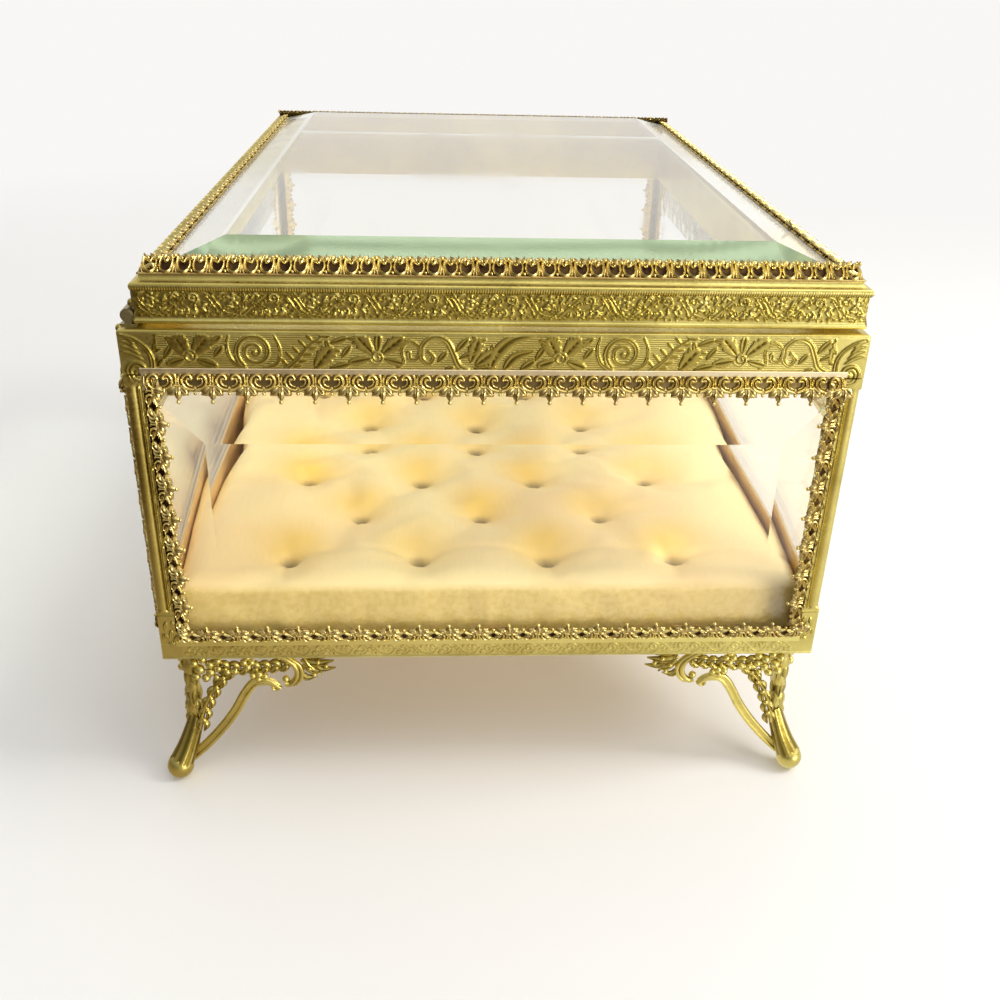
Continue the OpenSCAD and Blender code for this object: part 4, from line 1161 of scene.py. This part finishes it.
def cushion_start():
    """The satin before it is filled: a low box of cloth with its tufts pulled down.
    Returns points, faces and which points are held."""
    low, high = BOLSTER_LOW + (0.1, 0.1, 0.1), BOLSTER_HIGH - (0.1, 0.1, 2.4)
    nx, ny = (round((high[k] - low[k]) / CLOTH_STEP) + 1 for k in (0, 1))
    x, y = np.meshgrid(*(np.linspace(low[k], high[k], n) for k, n in enumerate((nx, ny))), indexing="ij")
    edge = np.minimum(np.minimum(x - low[0], high[0] - x), np.minimum(y - low[1], high[1] - y))
    z = high[2] - 2.2 * np.clip(1 - edge / 5.0, 0, 1) ** 2
    held = np.zeros(x.shape)
    for tx, ty in TUFT_SPOTS:
        away = np.hypot(x - tx, y - ty)
        z = np.minimum(z, high[2] - 0.9 * np.exp(-(away / 3.4) ** 1.4))
        held.flat[np.argmin(away)] = 1
    top = np.stack([x, y, z], -1)
    index = np.arange(nx * ny).reshape(nx, ny)
    rim = np.concatenate([index[:, 0], index[-1, 1:], index[-2::-1, -1], index[0, -2:0:-1]])
    ring = top.reshape(-1, 3)[rim]
    layers, m = 6, len(rim)
    points, strips, above = [top.reshape(-1, 3)], [], rim
    for k in range(1, layers + 1):
        layer = ring.copy()
        layer[:, 2] += (low[2] - ring[:, 2]) * k / layers
        points.append(layer)
        below = nx * ny + (k - 1) * m + np.arange(m)
        strips.append(np.stack([above, np.roll(above, -1), np.roll(below, -1), below], -1))
        above = below
    points = np.concatenate(points)
    under = np.zeros((nx, ny), int)
    under.flat[rim] = above
    inner = np.ones((nx, ny), bool)
    inner[[0, -1]] = inner[:, [0, -1]] = False
    under[inner] = len(points) + np.arange(inner.sum())
    floor = under.ravel()[grid_faces(nx, ny)]
    bed = top[inner].copy()
    bed[:, 2] = low[2]
    points = np.concatenate([points, bed])
    pins = np.concatenate([held.ravel(), np.zeros((layers - 1) * m), np.ones(m + len(bed))])
    return points, [grid_faces(nx, ny), np.concatenate(strips), floor], pins


def read_points(mesh):
    """The places of a mesh's vertices, in metres."""
    places = np.empty(len(mesh.vertices) * 3)
    mesh.vertices.foreach_get("co", places)
    return places.reshape(-1, 3)


def fill_with_cloth(piece, pins, frames=20, cap=4.5, kept=0.8):
    """Swells a piece with a cloth simulation, held at its pins, and keeps a share of the swelling."""
    group = piece.vertex_groups.new(name="held")
    group.add([int(i) for i in np.flatnonzero(pins > 0.5)], 1.0, "REPLACE")
    before = read_points(piece.data)
    cloth = piece.modifiers.new("fill", "CLOTH")
    settings = cloth.settings
    settings.quality = 6
    settings.use_pressure = True
    settings.uniform_pressure_force = 3.5
    settings.vertex_group_mass = "held"
    settings.shrink_min = -0.015
    settings.bending_stiffness = 0.4
    settings.effector_weights.gravity = 0
    for step in range(1, frames + 1):
        bpy.context.scene.frame_set(step)
    bpy.context.view_layer.update()
    move = read_points(piece.evaluated_get(bpy.context.evaluated_depsgraph_get()).to_mesh()) - before
    piece.modifiers.remove(cloth)
    bpy.context.scene.frame_set(1)
    far = np.linalg.norm(move, axis=1)[:, None] + 1e-12
    points = before + kept * move * np.minimum(1, cap * MM / far)
    points = np.clip(points, (BOLSTER_LOW - (0.2, 0.2, 0)) * MM, (BOLSTER_HIGH + (0.2, 0.2, 1.0)) * MM)
    piece.data.vertices.foreach_set("co", points.ravel())
    piece.data.update()


def gather(points):
    """Pulls the finer cloth into its tufts: a pinched dip, small folds round it, soft valleys
    that run from tuft to tuft, and a creased roll along each end. Returns the points, a mask
    for the painted glow of light on the slope just behind each tuft, and a mask for the dirt and painted
    shade at the bottom of each tuft."""
    x, y = points[:, 0], points[:, 1]
    sink = np.zeros(len(points))
    for a, b in TUFT_PAIRS:
        t, away = from_run(a, b, x, y)
        sink = np.maximum(sink, (0.04 + 0.36 * np.abs(2 * t - 1) ** 1.5) * bell(away, 2.4))
    end = np.abs(TUFT_SPOTS[:, 1]).max()
    for a in TUFT_SPOTS[np.abs(np.abs(TUFT_SPOTS[:, 1]) - end) < 1]:
        t = (x - a[0]) / TUFT_PITCH
        back = -math.copysign(1, a[1]) * (y - a[1]) - 15 * t * (1 - t)
        shallow = 1 - 0.5 * np.sin(math.pi * np.clip(t, 0, 1))
        sink += 0.75 * ((t > 0) & (t < 1)) * bell(back, 1.1) * shallow
    painted_tuft_glow, pit_dirt_and_shade = np.zeros(len(points)), np.zeros(len(points))
    for k, (tx, ty) in enumerate(TUFT_SPOTS):
        dx, dy = x - tx, y - ty
        away, turn = np.hypot(dx, dy), np.arctan2(dy, dx)
        folds = np.cos(7 * turn + 1.7 * k) + 0.6 * np.cos(4 * turn - 0.9 * k)
        sink += 0.12 * folds * bell(away - 4.5, 3.2)
        sink += 0.45 * bell(away, 5.5) + 1.5 * bell(dx, 2.2) * bell(dy, 1.4)
        # Painted glow of light on the slope just behind each tuft
        painted_tuft_glow = np.maximum(painted_tuft_glow, bell(dx, 8.5) * bell(dy - 6, 9.5))
        # Mask for the dirt and painted shade at the bottom of each tuft
        pit_dirt_and_shade = np.maximum(pit_dirt_and_shade, bell(dx, 1.6) * bell(dy, 1.3))
    wave = 0.08 * np.sin(x / 5.3 + np.sin(y / 9.1)) * np.sin(y / 6.7 + 1.3 * np.sin(x / 11.3))
    top = ramp(points[:, 2] - BOLSTER_LOW[2] - 4, 6)
    points[:, 2] -= (sink + wave) * top
    return points, painted_tuft_glow * top, pit_dirt_and_shade * top


def cushion():
    """The tufted satin. Returns its points, for the stitches."""
    points, faces, pins = cushion_start()
    form = Form()
    form.add(points, faces)
    piece = make("cushion_satin", form, "body", SATIN, ["cushion"], 180)
    fill_with_cloth(piece, pins)
    rounder = piece.modifiers.new("finer", "SUBSURF")
    rounder.levels = rounder.render_levels = 1
    finer = bpy.data.meshes.new_from_object(piece.evaluated_get(bpy.context.evaluated_depsgraph_get()))
    piece.modifiers.remove(rounder)
    piece.data = finer
    places, painted_tuft_glow, pit_dirt_and_shade = gather(read_points(finer) / MM)
    finer.vertices.foreach_set("co", (places * MM).ravel())
    for name, value in (("painted_tuft_glow", painted_tuft_glow), ("pit_dirt_and_shade", pit_dirt_and_shade)):
        finer.attributes.new(name, "FLOAT", "POINT").data.foreach_set("value", value.astype(np.float32))
    finer.update()
    return places


def tuft_threads(cloth):
    """A short pinched stitch at the bottom of each tuft."""
    form = Form()
    for x, y in TUFT_SPOTS:
        near = np.hypot(cloth[:, 0] - x, cloth[:, 1] - y) < 1.4
        z = cloth[near & (cloth[:, 2] > BOLSTER_LOW[2] + 3), 2].min() + 0.1
        path = smooth([(x - 1.3, y + 0.1, z + 0.15), (x - 0.5, y - 0.05, z), (x + 0.5, y - 0.05, z),
                       (x + 1.3, y + 0.1, z + 0.15)], 4)
        tube(form, path, 0.08 + 0.42 * np.sin(np.linspace(0, math.pi, len(path))) ** 0.7, 8)
    make("tuft_threads", form, "body", THREAD, ["tuft_stitches"], 60)


# ---- put together

def finish_cad_nodes():
    """Materials for the CAD nodes whose shape is right as it is."""
    hinges = [f"hinge_{part}_{end}" for part in ("body_leaf", "lid_leaf", "pin")
              for end in ("front", "back")]
    for material, names in (
            (WALL_GLASS, [f"glass_{side}" for side in ALONG]), (LID_GLASS, ["lid_glass"]),
            (INNER, ["glass_clips", "inner_strip_left", "inner_strip_right", "base_pan"]),
            (BOARD, ["cushion_board"]), (STEEL, ["foot_screws"]), (HINGE, hinges),
            (RIVET, ["hinge_body_rivets", "hinge_lid_rivets"])):
        for name in names:
            for entry in frame["nodes"][name].material_slots:
                entry.material = material


for side_name in ALONG:
    for build in (top_rail, bottom_rail, window_trim, lid_rail, lid_beading, lid_trim):
        build(side_name)
for corner_name in CORNERS:
    corner_post(corner_name)
    foot(corner_name)
tuft_threads(cushion())
finish_cad_nodes()


# ---- studio

# Light passes many faces of the bevelled panes
GLASS_BOUNCES = 96


def floor():
    """A pale floor that sweeps up behind. Seen in metal it is dimmer and warmer at the left."""
    y = np.array([-4.5, -0.5, 1.2, 2.2, 2.9, 3.3, 3.45, 3.5])
    z = np.array([0, 0, 0, 0.03, 0.2, 0.6, 1.2, 3.2])
    path = smooth(np.stack([y, z], -1), 4)
    mesh = bpy.data.meshes.new("studio_floor")
    mesh.from_pydata([(x, *p) for p in path.tolist() for x in (-5.0, 5.0)], [],
                     grid_faces(len(path), 2).tolist())
    mesh.shade_smooth()
    t = Tree(bpy.data.materials.new("studio_paper"))
    tone = t.mix(t.noise(6, 2), rgb(236, 234, 231), rgb(240, 239, 237))
    paper = t.node("BsdfPrincipled", {"Base Color": tone, "Roughness": 0.7})
    far = t.node("VectorMath", {0: t.place}, "Value", operation="LENGTH")
    rays = t.add("LightPath").outputs
    seen = t.math("MAXIMUM", rays["Is Camera Ray"], rays["Is Transmission Ray"])
    behind = t.span(t.node("SeparateXYZ", {"Vector": t.place}, "Y"), -0.1, 0.4)
    away = t.times(t.span(far, 0.35, 1.3), behind)
    side = t.dot(t.place, (0.9, 0.3, 0))
    near = t.times(t.span(side, -0.24, 0.04, 0.1, 1.0), t.math("SUBTRACT", 1.0, away))
    glossy = t.math("ADD", near, t.times(away, 0.94))
    # Refracted rays count as glossy too, so a straight look through glass is told apart
    bounced = t.math("ADD", rays["Diffuse Depth"], rays["Glossy Depth"])
    straight = t.math("SUBTRACT", rays["Is Transmission Ray"], bounced)
    mirrored = t.math("SUBTRACT", rays["Is Glossy Ray"], straight)
    level = t.span(mirrored, 0.0, 1.0, 0.95, glossy)
    white = t.node("Emission", {"Color": t.mix(level, rgb(255, 214, 150), WHITE), "Strength": level})
    share = t.math("MAXIMUM", t.times(seen, t.span(far, 0.24, 0.75)), mirrored)
    mesh.materials.append(t.finish(t.node("MixShader", {0: share, 1: paper, 2: white})))
    put("studio_floor", mesh)


def world():
    """Dim at the left and behind the camera, bright at the right and over the back."""
    t = Tree(bpy.data.worlds.new("studio"))
    lean = t.dot(t.coords["Generated"], (0.72, 0.42, 0.8))
    rays = t.add("LightPath").outputs
    seen = t.math("MAXIMUM", rays["Is Camera Ray"], rays["Is Transmission Ray"])
    shown = t.math("MAXIMUM", t.span(lean, -0.7, 0.9, 0.22, 0.9), t.times(seen, 0.95))
    light = t.node("Background", {"Color": WHITE, "Strength": shown})
    bpy.context.scene.world = t.finish(light, "World")


def lamp(name, place, target, size, power, colour=(1, 1, 1)):
    light = bpy.data.lights.new(name, "AREA")
    light.shape = "RECTANGLE"
    light.size, light.size_y = size
    light.energy = power
    light.color = colour
    holder = put(name, light)
    holder.location = place
    holder.rotation_euler = (Vector(target) - Vector(place)).to_track_quat("-Z", "Y").to_euler()
    return holder


def camera():
    """The photograph's view, in the frame's own axes."""
    lens = bpy.data.cameras.new("camera")
    lens.sensor_width = 36
    lens.lens = 38.65
    lens.clip_start = 0.01
    holder = put("camera", lens)
    yaw, pitch, roll = (math.radians(a) for a in (-3.704, -27.269, -1.627))
    turn = (Matrix.Rotation(yaw, 4, "Z") @ Matrix.Rotation(pitch, 4, "X")
            @ Matrix.Rotation(roll, 4, "Y") @ Matrix.Rotation(math.pi / 2, 4, "X"))
    holder.matrix_world = Matrix.Translation((-0.0125, -0.31183, 0.18003)) @ turn
    bpy.context.scene.camera = holder


floor()
world()
lamp("key", (0.85, -0.15, 0.75), (0, 0, 0.07), (0.4, 0.4), 6.0, (1, 0.98, 0.94))
lamp("side_front", (0.85, -0.95, 0.1), (0.06, -0.1, 0.08), (0.45, 0.4), 8.0, (1, 0.99, 0.94))
window = lamp("back_window", (0.0, 1.9, 0.62), (0, 0, 0.12), (3.4, 0.9), 10.0)
window.visible_glossy = window.visible_transmission = False
lamp("over", (0.35, -0.4, 0.95), (0, 0, 0.08), (0.8, 0.6), 1.8)
camera()
view = bpy.context.scene
view.view_settings.view_transform = "Standard"
view.cycles.max_bounces = view.cycles.transmission_bounces = view.cycles.glossy_bounces = GLASS_BOUNCES
view.cycles.diffuse_bounces = 4
view.cycles.transparent_max_bounces = 24
view.cycles.sample_clamp_indirect = 6
